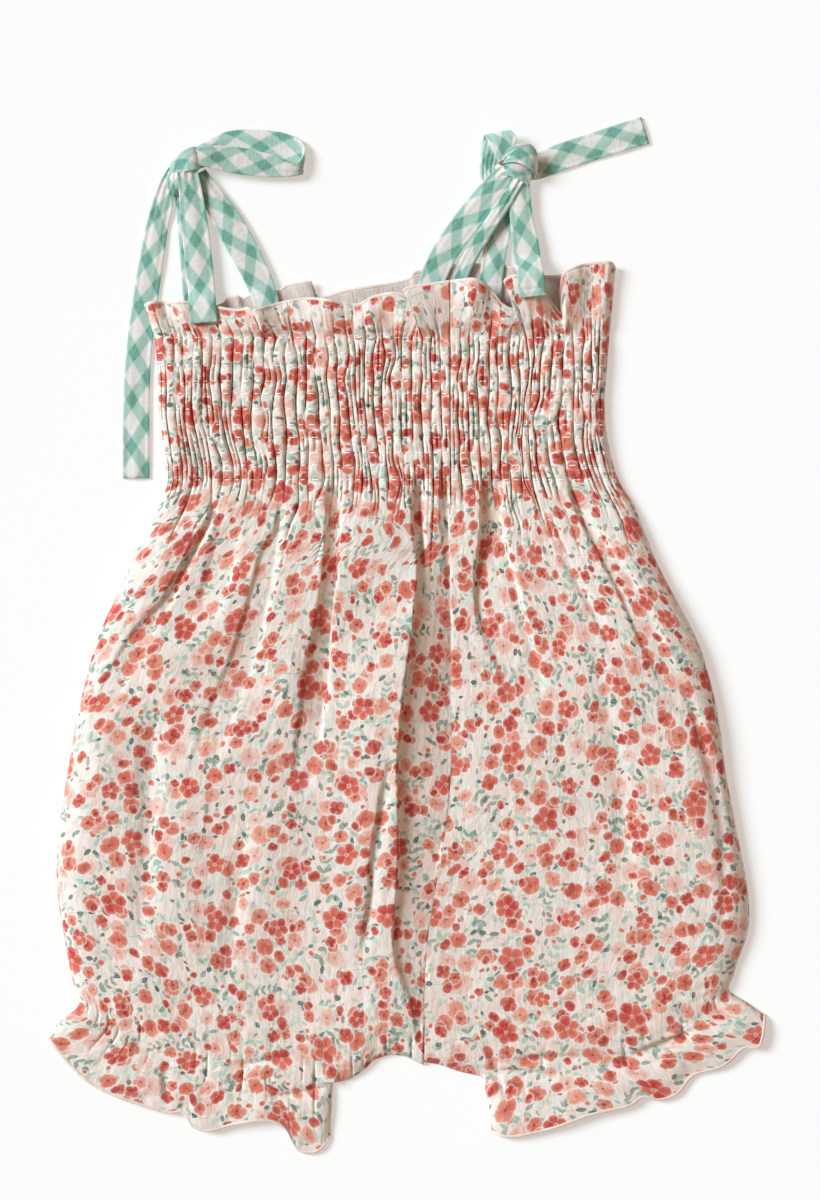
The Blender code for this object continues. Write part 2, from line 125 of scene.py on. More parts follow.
TOP_EDGES = {
    ("front", "left"): (
        Edge(0.00, -109.6, 138.0, 3.4), Edge(0.04, -105.0, 139.2, 5.6), Edge(0.11, -96.5, 139.0, 4.6),
        Edge(0.18, -89.0, 138.8, 5.6), Edge(0.25, -79.2, 136.9, 5.0), Edge(0.315, -70.5, 135.6, 6.6),
        Edge(0.345, -65.7, 136.2, 7.2), Edge(0.357, -63.6, 134.0, 7.0), Edge(0.366, -63.0, 129.6, 4.6),
        Edge(0.374, -62.6, 130.2, 5.0), Edge(0.384, -63.4, 134.8, 8.6), Edge(0.398, -60.0, 136.0, 8.2),
        Edge(0.45, -51.5, 139.0, 5.6), Edge(0.53, -41.0, 140.6, 5.0), Edge(0.60, -30.5, 139.4, 6.6),
        Edge(0.68, -20.6, 138.0, 5.4), Edge(0.75, -13.0, 141.6, 5.0), Edge(0.81, -3.0, 142.6, 5.4),
        Edge(0.86, 6.4, 139.4, 4.4), Edge(0.875, 7.6, 137.6, 5.2), Edge(0.89, 2.6, 140.4, 8.6),
        Edge(0.905, -0.8, 143.4, 9.6), Edge(0.93, 4.0, 145.3, 9.0), Edge(1.00, 18.7, 147.6, 7.4)),
    ("front", "right"): (
        Edge(0.00, 88.2, 153.6, 3.6), Edge(0.03, 85.4, 155.6, 6.4), Edge(0.13, 77.0, 155.2, 5.4),
        Edge(0.21, 69.8, 153.0, 8.0), Edge(0.25, 65.6, 150.0, 9.2), Edge(0.28, 64.6, 142.0, 8.2),
        Edge(0.30, 65.4, 134.6, 5.4), Edge(0.325, 63.2, 136.4, 6.2), Edge(0.36, 59.4, 141.2, 8.4),
        Edge(0.41, 55.2, 148.2, 9.6), Edge(0.46, 52.0, 149.8, 9.4), Edge(0.50, 47.2, 149.6, 9.8),
        Edge(0.53, 43.4, 149.0, 9.6), Edge(0.55, 41.0, 147.0, 9.0), Edge(0.575, 43.4, 144.0, 8.2),
        Edge(0.60, 47.6, 140.8, 6.6), Edge(0.625, 48.4, 137.8, 5.8), Edge(0.66, 44.4, 136.0, 6.4),
        Edge(0.71, 40.0, 138.4, 7.8), Edge(0.77, 36.8, 142.7, 9.2), Edge(0.84, 33.2, 145.7, 9.8),
        Edge(0.91, 27.9, 147.9, 9.4), Edge(1.00, 18.7, 147.6, 7.4)),
    ("back", "left"): (
        Edge(0.00, -103.4, 136.4, 1.4), Edge(0.20, -80.0, 137.6, 1.2), Edge(0.27, -74.0, 141.6, 1.4),
        Edge(0.30, -70.3, 142.0, 2.4), Edge(0.32, -68.7, 140.8, 1.4), Edge(0.36, -64.4, 142.4, 1.2),
        Edge(0.38, -62.0, 139.2, 2.2), Edge(0.44, -54.0, 143.6, 1.6), Edge(0.47, -49.4, 146.6, 1.6),
        Edge(0.50, -44.0, 147.3, 2.8), Edge(0.55, -39.3, 147.4, 2.4), Edge(0.57, -36.4, 141.6, 1.2),
        Edge(0.66, -23.0, 144.7, 1.8), Edge(0.77, -9.1, 146.8, 1.4), Edge(0.85, 1.5, 149.2, 1.6),
        Edge(0.875, 3.2, 151.4, 2.6), Edge(0.90, 6.9, 152.5, 2.0), Edge(1.00, 18.7, 154.6, 1.6)),
    ("back", "right"): (
        Edge(0.00, 85.6, 153.2, 1.4), Edge(0.14, 76.0, 153.6, 1.4), Edge(0.29, 66.2, 150.8, 1.8),
        Edge(0.43, 57.3, 150.4, 1.4), Edge(0.59, 46.0, 153.3, 2.4), Edge(0.66, 41.4, 154.4, 1.6),
        Edge(0.86, 27.9, 155.2, 1.8), Edge(1.00, 18.7, 154.6, 1.6)),
}

# Soft folds of the front. Each is a trough, with stations from its top down: how far up it is, where
# its left and right edges are, and how deep it lies. Then the share of that depth at its left edge,
# and how far its two banks reach, from a crisp crease to a soft shoulder.
Fold = namedtuple("Fold", "name stations near left_bank right_bank")

FOLDS = (
    Fold("centre valley", (
        (50.0, 6.1, 17.0, 1.0), (37.4, 5.7, 18.3, 5.2), (22.7, 5.2, 18.9, 8.4), (-2.5, 2.7, 19.2, 9.6),
        (-27.7, -0.6, 19.2, 9.9), (-52.9, -2.7, 18.6, 9.9), (-78.1, -2.3, 16.4, 9.4), (-103.3, -2.7, 12.2, 8.4),
        (-126.4, -4.8, 9.2, 7.0), (-143.2, -1.5, 8.6, 5.2), (-155.8, 3.1, 7.5, 3.2), (-166.3, 4.4, 6.7, 1.6),
        (-174.7, 4.8, 6.1, 0.4)), 0.36, 1.0, 0.8),
    Fold("fold d", (
        (65.5, -31.3, -30.0, 2.6), (56.3, -32.5, -28.1, 4.2), (39.5, -32.8, -28.3, 4.8), (22.7, -34.2, -29.4, 4.8),
        (5.9, -36.8, -30.7, 4.4), (-10.9, -40.5, -31.7, 3.8), (-27.7, -43.0, -33.4, 3.0), (-44.5, -45.1, -35.9, 2.0),
        (-65.5, -47.7, -40.1, 0.3)), 0.5, 1.4, 1.2),
    Fold("fold c", (
        (56.3, -52.7, -52.1, 1.6), (43.7, -54.0, -52.9, 2.0), (34.4, -59.8, -54.0, 1.8), (18.5, -64.0, -56.1, 1.7),
        (1.7, -68.7, -60.3, 1.6), (-15.1, -74.5, -64.5, 1.3), (-31.9, -81.7, -71.2, 1.0), (-48.7, -87.6, -77.1, 0.7),
        (-65.5, -92.2, -83.8, 0.2)), 0.8, 1.4, 3.0),
    Fold("fold a", (
        (57.5, -80.4, -79.4, 2.0), (48.7, -82.5, -80.0, 2.6), (39.5, -87.6, -84.8, 3.0), (31.1, -91.8, -89.0, 2.9),
        (22.7, -96.4, -93.4, 2.3), (13.4, -101.8, -97.4, 1.6), (1.7, -112.8, -104.8, 1.1), (-13.0, -121.6, -112.8, 0.9),
        (-27.7, -128.3, -120.4, 0.6), (-46.6, -134.2, -128.8, 0.2)), 1.1, 1.0, 1.6),
    Fold("fold b", (
        (47.9, -77.1, -72.9, 0.5), (35.3, -79.6, -71.2, 1.8), (20.6, -83.0, -74.5, 1.6), (3.8, -88.0, -80.4, 0.4)),
        0.8, 4.0, 4.0),
    Fold("recess right of the seam", (
        (67.2, 32.5, 39.3, 3.4), (56.3, 32.1, 39.7, 4.6), (41.6, 31.7, 40.3, 5.0), (31.1, 30.4, 43.0, 4.2),
        (18.5, 29.2, 46.0, 3.2), (3.8, 31.3, 49.8, 2.2), (-13.0, 38.4, 54.8, 1.2), (-27.7, 41.8, 56.9, 0.3)),
        0.9, 1.3, 2.4),
    Fold("recess left of the seam", (
        (67.2, 4.0, 6.1, 4.0), (56.3, 3.4, 6.3, 4.8), (43.7, 4.0, 6.7, 4.0), (31.9, 5.7, 7.3, 2.6), (24.8, 6.5, 7.8, 0.6)),
        0.9, 1.6, 2.0),
    Fold("recess by the seam", (
        (68.9, 15.8, 17.2, 2.6), (58.4, 15.5, 17.4, 3.4), (45.8, 15.8, 18.1, 3.0), (31.1, 17.0, 18.7, 1.2),
        (18.5, 17.8, 19.1, 0.4)), 0.9, 2.0, 1.0),
    Fold("fold h", (
        (64.7, 67.4, 68.2, 1.8), (54.2, 70.8, 72.9, 2.6), (45.8, 74.5, 78.0, 2.7), (35.3, 79.6, 85.8, 2.4),
        (22.7, 86.3, 94.6, 2.0), (10.1, 92.2, 101.0, 1.6), (-4.6, 98.5, 107.2, 1.2), (-23.5, 108.6, 116.6, 0.7),
        (-42.4, 118.6, 126.0, 0.2)), 0.9, 1.3, 2.4),
    Fold("crease f", (
        (-47.9, -6.1, -4.8, 0.3), (-63.8, -9.4, -7.8, 1.5), (-78.1, -11.5, -9.9, 1.8), (-92.8, -14.1, -12.4, 1.8),
        (-107.5, -14.9, -13.7, 1.8), (-122.2, -17.0, -15.3, 1.5), (-136.9, -19.1, -17.4, 0.3)), 1.0, 1.4, 5.0),
    Fold("crease i", (
        (37.4, 63.2, 64.5, 0.2), (24.8, 69.1, 70.3, 1.3), (14.3, 75.0, 76.2, 1.3), (1.7, 81.3, 82.5, 0.8),
        (-10.9, 85.9, 87.1, 0.2)), 0.8, 2.0, 4.0),
    Fold("crease g", (
        (31.1, 42.6, 43.5, 0.4), (16.4, 45.6, 46.8, 1.2), (1.7, 49.4, 50.6, 1.2), (-13.0, 54.8, 56.1, 0.8),
        (-27.7, 56.5, 57.8, 0.2)), 0.8, 4.0, 1.6),
    Fold("left hip crease", (
        (-30.0, -104.0, -103.0, 0.3), (-55.0, -108.0, -106.0, 1.8), (-90.0, -109.0, -106.5, 1.9),
        (-120.0, -112.0, -110.0, 1.3), (-140.0, -114.0, -113.0, 0.3)), 0.8, 7.0, 8.0),
    Fold("left middle crease", (
        (-70.0, -66.0, -65.0, 0.3), (-95.0, -70.0, -68.0, 1.5), (-120.0, -73.0, -71.0, 1.4), (-150.0, -76.0, -75.0, 0.3)),
        0.8, 6.0, 7.0),
    Fold("right hip crease", (
        (12.0, 74.0, 75.0, 0.2), (-20.0, 80.0, 82.0, 1.0), (-60.0, 87.0, 90.0, 1.2), (-95.0, 90.0, 92.0, 0.9),
        (-120.0, 91.0, 92.0, 0.2)), 0.8, 7.0, 9.0),
    Fold("right edge crease", (
        (-20.0, 116.0, 117.0, 0.3), (-45.0, 123.0, 124.5, 1.8), (-75.0, 130.0, 131.5, 1.8), (-105.0, 132.0, 133.5, 1.4),
        (-130.0, 130.0, 131.0, 0.3)), 0.8, 3.0, 4.0),
    Fold("right leg crease", (
        (-172.0, 35.0, 35.6, 0.3), (-184.4, 37.2, 38.0, 2.2), (-191.0, 40.6, 41.4, 2.2), (-198.0, 44.8, 45.4, 0.6)),
        0.8, 2.2, 3.0),
    Fold("left leg crease", (
        (-178.0, -102.0, -101.4, 0.3), (-190.0, -101.0, -100.2, 2.0), (-199.0, -99.6, -99.0, 1.6)), 0.8, 2.4, 3.0),
)

# Folds that run across the legs, where the cloth bags over the elastic. Their stations go from right
# to left: how far right it is, its lower and upper edge, and its depth. Then as above, from below.
LEG_FOLDS = (
    Fold("left bag fold", (
        (-42.6, -175.6, -174.4, 0.3), (-50.6, -178.4, -176.8, 1.2), (-60.3, -179.4, -178.5, 1.9),
        (-69.5, -181.6, -179.8, 1.5), (-79.2, -179.0, -178.2, 0.3)), 1.0, 3.8, 1.8),
    Fold("left inner crease", (
        (-27.5, -188.0, -187.2, 0.3), (-35.9, -190.6, -189.6, 1.8), (-44.3, -192.4, -191.3, 2.2),
        (-52.7, -194.0, -193.0, 1.8), (-62.0, -193.8, -193.0, 0.3)), 1.0, 2.6, 1.3),
    Fold("right bag fold", (
        (66.0, -186.6, -185.6, 0.3), (53.6, -184.6, -183.4, 1.8), (43.9, -184.0, -182.6, 2.3),
        (33.4, -183.6, -182.2, 2.4), (22.9, -182.4, -181.3, 2.0), (14.5, -177.4, -176.6, 0.3)), 1.0, 3.0, 1.3),
    Fold("right upper bag fold", (
        (78.0, -178.8, -178.0, 0.3), (64.9, -177.4, -176.3, 1.5), (52.3, -178.2, -177.1, 1.5),
        (41.0, -179.6, -178.8, 0.3)), 1.0, 4.0, 1.5),
    Fold("left side bag fold", (
        (-92.0, -181.6, -180.8, 0.3), (-101.0, -177.4, -176.2, 1.7), (-111.0, -172.4, -171.0, 1.9),
        (-121.0, -166.8, -166.0, 0.3)), 1.0, 3.6, 1.6),
    Fold("right side bag fold", (
        (125.0, -164.0, -163.2, 0.3), (114.0, -169.6, -168.2, 1.9), (102.0, -174.4, -173.0, 1.8),
        (90.0, -178.0, -177.2, 0.3)), 1.0, 3.6, 1.6),
)
FOLD_POINTS = 80         # along a fold's line
FOLD_END = 7.0           # length over which a fold starts and ends
LIP = 0.9                # by which the right half's edge overhangs the centre valley
LIP_COLUMNS = (0.25, 0.65, 1.0)   # share of it at the columns next to the seam
LIP_DEPTH = 3.0          # depth of the valley from which the lip is whole
SEAM_INSET = 0.9         # how far left of the seam its depth in the folds is read

# How each half is divided: gathers across its width, columns to a gather, and its own random seed.
Division = namedtuple("Division", "gathers steps seed")
DIVISIONS = {("front", "left"): Division(30, 8, 11), ("front", "right"): Division(17, 8, 23),
             ("back", "left"): Division(24, 5, 37), ("back", "right"): Division(14, 5, 41)}

# Rows of the cloth's grid between its control rows.
Rows = namedtuple("Rows", "start end front back")
ROWS = (Rows(0, FIRST_ELASTIC, 14, 12), Rows(FIRST_ELASTIC, LAST_ELASTIC, 46, 20),
        Rows(LAST_ELASTIC, LOWER_HIP, 62, 26), Rows(LOWER_HIP, THIGH, 24, 14), Rows(THIGH, HEM, 32, 8),
        Rows(HEM, LEG_EDGE, 16, 10))
THREAD_ROWS = 11         # rows of elastic thread in the shirring

# ---------------------------------------------------------------- the ties, mm

# One row per station of a tie's middle line, from the knot to its end: its place, its height in
# lying layers of cloth, and its width there. A tie's own layers say how thick it is folded, and its
# shift moves its checks across it, mm.
Tie = namedtuple("Tie", "name over_front pleats layers shift stations")
LAYER = 1.5
LAYER_MIDDLE = 0.6       # height of the lowest layer's middle line

TIES = (
    Tie("tie_left_front", True, 3, 1, 0.4,
        ((-91.2, 194.0, 3.6, 8.6), (-90.2, 187.0, 2.6, 9.6), (-88.4, 172.0, 2, 11.2), (-86.3, 153.0, 2, 11.4),
         (-85.0, 140.0, 2, 11.4), (-84.4, 130.0, 2, 11.6))),
    Tie("tie_left_back", False, 2, 1, 3.6,
        ((-86.8, 193.0, 1.2, 7.0), (-81.4, 184.0, 1, 9.4), (-75.4, 174.6, 1, 11.6), (-69.0, 163.0, 1, 12.2),
         (-62.6, 150.7, 1, 11.4), (-58.6, 140.0, 1, 11.0), (-57.4, 132.0, 1, 11.0))),
    Tie("tie_left_under", False, 1, 1, 2.0,
        ((-93.4, 190.0, 0.4, 8.0), (-91.4, 178.0, 0, 9.6), (-90.2, 165.0, 0, 10.0), (-89.0, 152.0, 0.2, 10.4),
         (-88.2, 142.0, 0.8, 10.4), (-87.6, 132.0, 1, 10.4))),
    Tie("tie_left_tail", False, 3, 1, -4.4,
        ((-96.4, 194.0, 2.2, 6.0), (-99.8, 187.6, 1.4, 7.4), (-102.0, 180.0, 0.5, 8.6), (-104.4, 170.0, 0.1, 9.4),
         (-105.9, 161.3, 0, 9.9), (-107.3, 152.9, 0, 10.3), (-109.2, 140.3, 0, 10.4), (-111.4, 123.5, 0, 10.6),
         (-112.4, 111.0, 0, 10.8), (-112.9, 98.3, 0, 11.0), (-113.1, 81.5, 0, 11.2), (-113.0, 65.3, 0, 11.2))),
    Tie("tie_right_front", True, 1, 1, -5.0,
        ((48.8, 190.0, 2.2, 6.4), (48.4, 183.0, 2.1, 8.0), (48.4, 176.0, 2, 9.6), (50.2, 164.0, 2, 10.8),
         (51.6, 152.9, 2, 11.2), (52.4, 145.0, 2, 11.2), (52.9, 140.4, 2, 11.2))),
    Tie("tie_right_back", False, 4, 1, 2.4,
        ((43.0, 192.4, 2.4, 9.6), (39.2, 188.2, 2.3, 11.8), (32.2, 180.4, 1.6, 11.8), (25.0, 172.0, 1, 11.2),
         (17.4, 161.3, 1, 10.8), (12.6, 151.8, 1, 10.8), (10.0, 142.4, 1, 10.8), (9.0, 133.6, 1, 10.8))),
    Tie("tie_right_twist", False, 2, 2, 1.2,
        ((47.6, 190.0, 2.4, 5.0), (41.4, 180.0, 2.2, 5.4), (34.4, 169.6, 2, 6.0), (28.2, 160.0, 1.8, 6.2),
         (24.6, 152.9, 1.2, 6.0), (22.4, 145.0, 1, 5.8), (21.6, 134.0, 1, 5.8))),
    Tie("tie_right_under", False, 1, 1, -2.0,
        ((44.8, 184.4, 0.4, 7.0), (41.4, 174.8, 0.2, 8.6), (38.2, 164.3, 0.7, 9.8), (36.4, 153.0, 1, 9.8),
         (35.6, 144.0, 1, 9.8), (35.2, 134.0, 1, 9.8))),
    Tie("tie_right_tail", False, 2, 1, 3.4,
        ((51.0, 194.4, 0.8, 9.0), (55.6, 196.2, 0.3, 10.6), (66.0, 200.4, 0, 11.3), (77.0, 204.0, 0, 11.4),
         (88.6, 207.8, 0, 11.6), (100.6, 211.4, 0, 11.8))),
)

# Ribbons that the half bows make, each between two edge lines: stations of one edge and the other,
# with a height for each.
Ribbon = namedtuple("Ribbon", "name pleats stations")

LEFT_LOOP = Ribbon("tie_left_loop", 2, (
    (-90.5, 202.4, 2.0, -87.3, 195.0, 2.0), (-84.2, 206.6, 1.4, -81.3, 196.6, 1.4),
    (-77.1, 210.2, 1.0, -72.9, 198.2, 1.0), (-69.5, 211.7, 0.9, -65.3, 197.8, 0.9),
    (-60.3, 211.7, 0.9, -57.8, 196.6, 0.9), (-50.6, 210.2, 1.2, -49.4, 194.9, 1.0),
    (-43.6, 207.0, 2.2, -43.9, 193.6, 1.4), (-42.5, 202.8, 3.6, -43.3, 192.9, 2.2),
    (-44.3, 198.0, 5.0, -44.9, 192.2, 3.2), (-48.5, 197.0, 5.2, -49.4, 191.5, 3.4),
    (-55.4, 200.3, 5.0, -56.9, 191.3, 3.4), (-61.5, 201.9, 5.0, -63.2, 191.7, 3.6),
    (-68.3, 203.5, 5.0, -70.4, 192.6, 4.0), (-75.2, 204.2, 5.2, -77.1, 193.9, 4.6),
    (-82.1, 204.2, 5.8, -83.0, 195.2, 5.6), (-87.4, 203.0, 6.2, -87.0, 196.2, 6.2)))
RIGHT_LOOP = Ribbon("tie_right_loop", 4, (
    (31.7, 188.6, 2.0, 37.2, 188.8, 2.4), (31.1, 194.9, 2.4, 37.8, 195.3, 2.6),
    (31.5, 201.2, 2.8, 39.0, 200.8, 3.0), (32.4, 206.4, 3.2, 41.5, 207.4, 3.4),
    (33.2, 208.4, 5.0, 43.6, 210.6, 5.2), (35.2, 204.6, 6.8, 46.4, 207.4, 6.6),
    (37.2, 200.4, 7.2, 45.3, 203.0, 7.0), (38.7, 196.6, 7.0, 42.0, 198.6, 7.2)))
LEFT_WRAPS = (
    Ribbon("wrap", 2, (
        (-100.0, 189.6, 1.4, -94.8, 187.4, 2.0), (-99.2, 194.2, 3.6, -93.8, 190.8, 4.6),
        (-97.0, 198.4, 5.4, -92.4, 193.0, 6.6), (-93.2, 201.6, 6.6, -90.2, 193.4, 7.4),
        (-89.0, 203.6, 6.6, -87.8, 193.8, 7.2), (-86.9, 203.2, 5.0, -86.0, 194.4, 5.4),
        (-87.4, 202.0, 2.4, -86.4, 195.6, 2.6))),
    Ribbon("turn", 3, (
        (-99.6, 194.0, 3.4, -94.2, 194.6, 5.0), (-100.2, 189.8, 3.4, -94.0, 190.0, 5.4),
        (-99.4, 185.8, 2.6, -94.6, 186.4, 3.6), (-97.0, 183.6, 1.4, -93.8, 184.6, 1.8))),
)
RIGHT_WRAPS = (
    Ribbon("wrap", 3, (
        (39.4, 197.6, 5.6, 39.3, 196.2, 5.4), (42.6, 201.9, 7.6, 43.0, 196.9, 7.4),
        (46.2, 204.1, 8.8, 46.6, 196.6, 8.8), (51.1, 204.5, 8.6, 50.2, 195.2, 9.0),
        (54.1, 202.5, 7.0, 52.9, 193.4, 8.0), (55.2, 198.8, 4.6, 54.5, 191.6, 5.4),
        (54.8, 195.0, 2.0, 54.2, 190.4, 2.2))),
    Ribbon("lip", 2, (
        (38.0, 196.6, 3.2, 37.4, 191.4, 2.4), (41.0, 197.0, 5.2, 40.8, 191.8, 4.4),
        (45.4, 197.0, 6.4, 44.8, 191.2, 5.4), (49.8, 195.6, 6.4, 48.2, 189.6, 5.2),
        (53.0, 193.2, 4.8, 51.4, 187.2, 3.8))),
)
# A rounded filling in the middle of each knot: place and half sizes.
Core = namedtuple("Core", "x y z half_x half_y half_z")
CORES = {"left": Core(-92.0, 195.6, 3.8, 5.4, 5.8, 2.7), "right": Core(46.8, 197.0, 4.6, 6.6, 5.0, 3.0)}


# ---------------------------------------------------------------- curves, noise and meshes


def spline_weights(knots, places):
    """Catmull-Rom weights of numbered knots at these places: one row per place.

    A place between knots b and c, with a before and d after them, is
    0.5 * (2b + (c - a) t + (2a - 5b + 4c - d) t^2 + (3b - a - 3c + d) t^3).
    Beyond its ends the line goes on as straight as its last step.
    """
    places = np.asarray(places, float)
    first = np.clip(places.astype(int), 0, knots - 2)
    t = places - first
    basis = 0.5 * np.stack((-t + 2 * t ** 2 - t ** 3, 2 - 5 * t ** 2 + 3 * t ** 3,
                            t + 4 * t ** 2 - 3 * t ** 3, -t ** 2 + t ** 3))
    weights = np.zeros((len(places), knots + 2))
    for step in range(4):
        weights[np.arange(len(places)), first + step] += basis[step]
    inner = weights[:, 1:-1].copy()
    inner[:, :2] += weights[:, :1] * (2, -1)
    inner[:, -2:] += weights[:, -1:] * (-1, 2)
    return inner


def curve_through(stations, count):
    """Smooth curve through the stations, at this many evenly numbered places."""
    stations = np.asarray(stations, float)
    return spline_weights(len(stations), np.linspace(0, len(stations) - 1, count)) @ stations


def along(line, shares):
    """Points at these shares of a broken line's length."""
    line = np.asarray(line, float)
    reach = np.concatenate(([0.0], np.cumsum(np.linalg.norm(np.diff(line, axis=0), axis=1))))
    return np.column_stack([np.interp(np.asarray(shares) * reach[-1], reach, axis) for axis in line.T])


def soft_noise(seed, shape, knots):
    """Smooth random field of this shape, about 1 high: normal numbers at the knots, splined."""
    numbers = np.random.default_rng(seed).normal(size=knots)
    down, across = (spline_weights(count, np.linspace(0, count - 1, size)) for count, size in zip(knots, shape))
    return down @ numbers @ across.T


def ease(values):
    """Smooth step from 0 to 1 of values between 0 and 1."""
    values = np.clip(values, 0, 1)
    return values * values * (3 - 2 * values)


def unit(vectors):
    length = np.linalg.norm(vectors, axis=-1, keepdims=True)
    return vectors / np.maximum(length, 1e-9)


def box_blur(values, reach, axis):
    """Running mean over 2 * reach + 1 neighbours along an axis, with the end values repeated."""
    pad = [(0, 0)] * values.ndim
    pad[axis] = (reach + 1, reach)
    total = np.cumsum(np.pad(values, pad, mode="edge"), axis=axis)
    size = values.shape[axis]
    high = np.take(total, np.arange(size) + 2 * reach + 1, axis=axis)
    return (high - np.take(total, np.arange(size), axis=axis)) / (2 * reach + 1)


def grid_quads(present):
    """Quads of a grid of rows and columns, wherever all four corners are present."""
    index = np.cumsum(present.ravel()).reshape(present.shape) - 1
    whole = present[:-1, :-1] & present[1:, :-1] & present[1:, 1:] & present[:-1, 1:]
    rows, columns = np.nonzero(whole)
    return np.column_stack((index[rows, columns], index[rows + 1, columns],
                            index[rows + 1, columns + 1], index[rows, columns + 1]))


def add_mesh(name, points, faces, uv, materials):
    """A smooth piece from points in mm, faces and one UV place per point."""
    mesh = bpy.data.meshes.new(name)
    mesh.from_pydata((points * MM).tolist(), [], faces)
    for material in materials:
        mesh.materials.append(material)
    corners = np.empty(len(mesh.loops), dtype=np.int32)
    mesh.loops.foreach_get("vertex_index", corners)
    layer = mesh.uv_layers.new(name=UV_NAME)
    layer.data.foreach_set("uv", uv[corners].astype(np.float32).ravel())
    mesh.shade_smooth()
    piece = bpy.data.objects.new(name, mesh)
    bpy.context.scene.collection.objects.link(piece)
    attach(piece, BODY)
    return piece


def ribbon_shape(edge_a, edge_b, thickness, sides, flatness, bend=0.0):
    """Closed ribbons between pairs of edge lines, each an array of (ribbons, stations, 3).

    At each station a point of the outline is the edges' middle + cos(turn) * (half the width)
    + sign(sin(turn)) * |sin(turn)| ^ flatness * (half the thickness) along the ribbon's normal.
    bend lifts it along that normal by an amount for each station and outline point.
    """
    middle = (edge_a + edge_b) / 2
    half = (edge_b - edge_a) / 2
    heading = unit(np.gradient(middle, axis=1))
    normal = unit(np.cross(heading, half))
    turn = 2 * np.pi * np.arange(sides) / sides
    across = np.cos(turn)
    rise = np.sign(np.sin(turn)) * np.abs(np.sin(turn)) ** flatness
    lift = rise * np.asarray(thickness)[..., None] / 2 + bend
    points = middle[:, :, None] + half[:, :, None] * across[:, None] + normal[:, :, None] * lift[..., None]
    length = np.linalg.norm(np.diff(middle, axis=1, prepend=middle[:, :1]), axis=2).cumsum(axis=1)
    width = np.linalg.norm(half, axis=2)
    uv = np.stack(np.broadcast_arrays(length[..., None], width[..., None] * across), axis=-1) * MM
    ribbons, stations = middle.shape[:2]
    index = np.arange(ribbons * stations * sides).reshape(ribbons, stations, sides)
    beside = np.roll(index, -1, axis=2)
    quads = np.stack((index[:, :-1], beside[:, :-1], beside[:, 1:], index[:, 1:]), axis=-1).reshape(-1, 4)
    faces = quads.tolist() + index[:, 0, ::-1].tolist() + index[:, -1].tolist()
    return points.reshape(-1, 3), faces, uv.reshape(-1, 2)


def joined(shapes):
    """Several shapes as one: their points, faces and UV places."""
    starts = np.cumsum([0] + [len(shape[0]) for shape in shapes])
    faces = [[corner + start for corner in face] for shape, start in zip(shapes, starts.tolist())
             for face in shape[1]]
    return np.vstack([shape[0] for shape in shapes]), faces, np.vstack([shape[2] for shape in shapes])


# ---------------------------------------------------------------- the shape of a half


def control_rows(face, side, columns):
    """Places of the control rows from the first elastic to the leg ruffle's edge.

    Columns run from the side seam to the centre seam. Beyond the leg's share the last two rows only
    carry the crotch's edge straight on, and are left out of the mesh.
    """
    shares = np.linspace(0, 1, columns + 1)
    leg_columns = round(LEG_SHARE * columns)
    rows = []
    for section in SECTIONS:
        at_side = (section.left_x, section.left_y) if side == "left" else (section.right_x, section.right_y)
        rows.append(along((at_side, (section.seam_x, section.seam_y)), shares))
    leg = along(LEG_ELASTIC[side], np.linspace(0, 1, leg_columns + 1))
    crotch = along((LEG_ELASTIC[side][-1],) + CROTCH[side], np.linspace(0, 1, columns - leg_columns + 1))
    hem = np.vstack((leg, crotch[1:]))
    above = (rows[-1] + hem) / 2
    edge = hem + (hem - above) / 2
    ruffle = curve_through(LEG_RUFFLE[side], 8 * len(LEG_RUFFLE[side]))
    edge[:leg_columns + 1] = along(ruffle, np.linspace(0, 1, leg_columns + 1))
    if face == "back":
        edge[:leg_columns + 1] -= unit(edge - hem)[:leg_columns + 1] * BACK_LEG_INSET
    rows += [above, hem, (hem + edge) / 2, edge]
    return np.array(rows), leg_columns


def read_columns(grid, columns):
    """Each row of a grid, read at these fractional columns."""
    first = np.clip(columns.astype(int), 0, grid.shape[1] - 2)
    part = (columns - first)[..., None]
    rows = np.arange(len(grid))[:, None]
    return grid[rows, first] * (1 - part) + grid[rows, first + 1] * part


def fold_depth(folds, across, lengthways):
    """How far the folds press the front down at places given across and along the folds.

    Between a fold's edges the depth goes from the left edge's share of it to the whole. Beyond them it
    falls as 1 - sin(quarter turn * distance / bank). A fold's first and last stretch swell and fade.
    """
    depth = np.zeros_like(across)
    for fold in folds:
        line = curve_through(fold.stations[::-1], FOLD_POINTS)
        left, right, drop = (np.interp(lengthways, line[:, 0], line[:, column]) for column in (1, 2, 3))
        inside = np.clip((across - left) / np.maximum(right - left, 0.1), 0, 1)
        beyond = np.maximum((left - across) / fold.left_bank, (across - right) / fold.right_bank)
        profile = (fold.near + (1 - fold.near) * inside) * (1 - np.sin(np.pi / 2 * np.clip(beyond, 0, 1)))
        ends = ease((lengthways - line[0, 0]) / FOLD_END) * ease((line[-1, 0] - lengthways) / FOLD_END)
        depth = depth + np.maximum(drop, 0) * profile * ends
    return depth


NARROW = 0.85            # share of a gather's valley that is a narrow slit
SLIT = 0.16              # the slit's half width, as a share of the way to the crest
HALF_GATHER = 0.5        # strength of the broken slits that lie between the gathers


def gather_profile(gathers, steps):
    """Weight of each valley at each column: 1 in the valley, 0 from the crests beside it.

    At a share a of the way to a crest it is a bell exp(-(a / slit)^2) plus 1 - sin(quarter turn * a),
    each by its part.
    """
    away = np.abs(np.arange(gathers * steps + 1) - steps * np.arange(gathers + 1)[:, None]) / (steps / 2)
    away = np.clip(away, 0, 1)
    return NARROW * np.exp(-(away / SLIT) ** 2) + (1 - NARROW) * (1 - np.sin(np.pi / 2 * away))


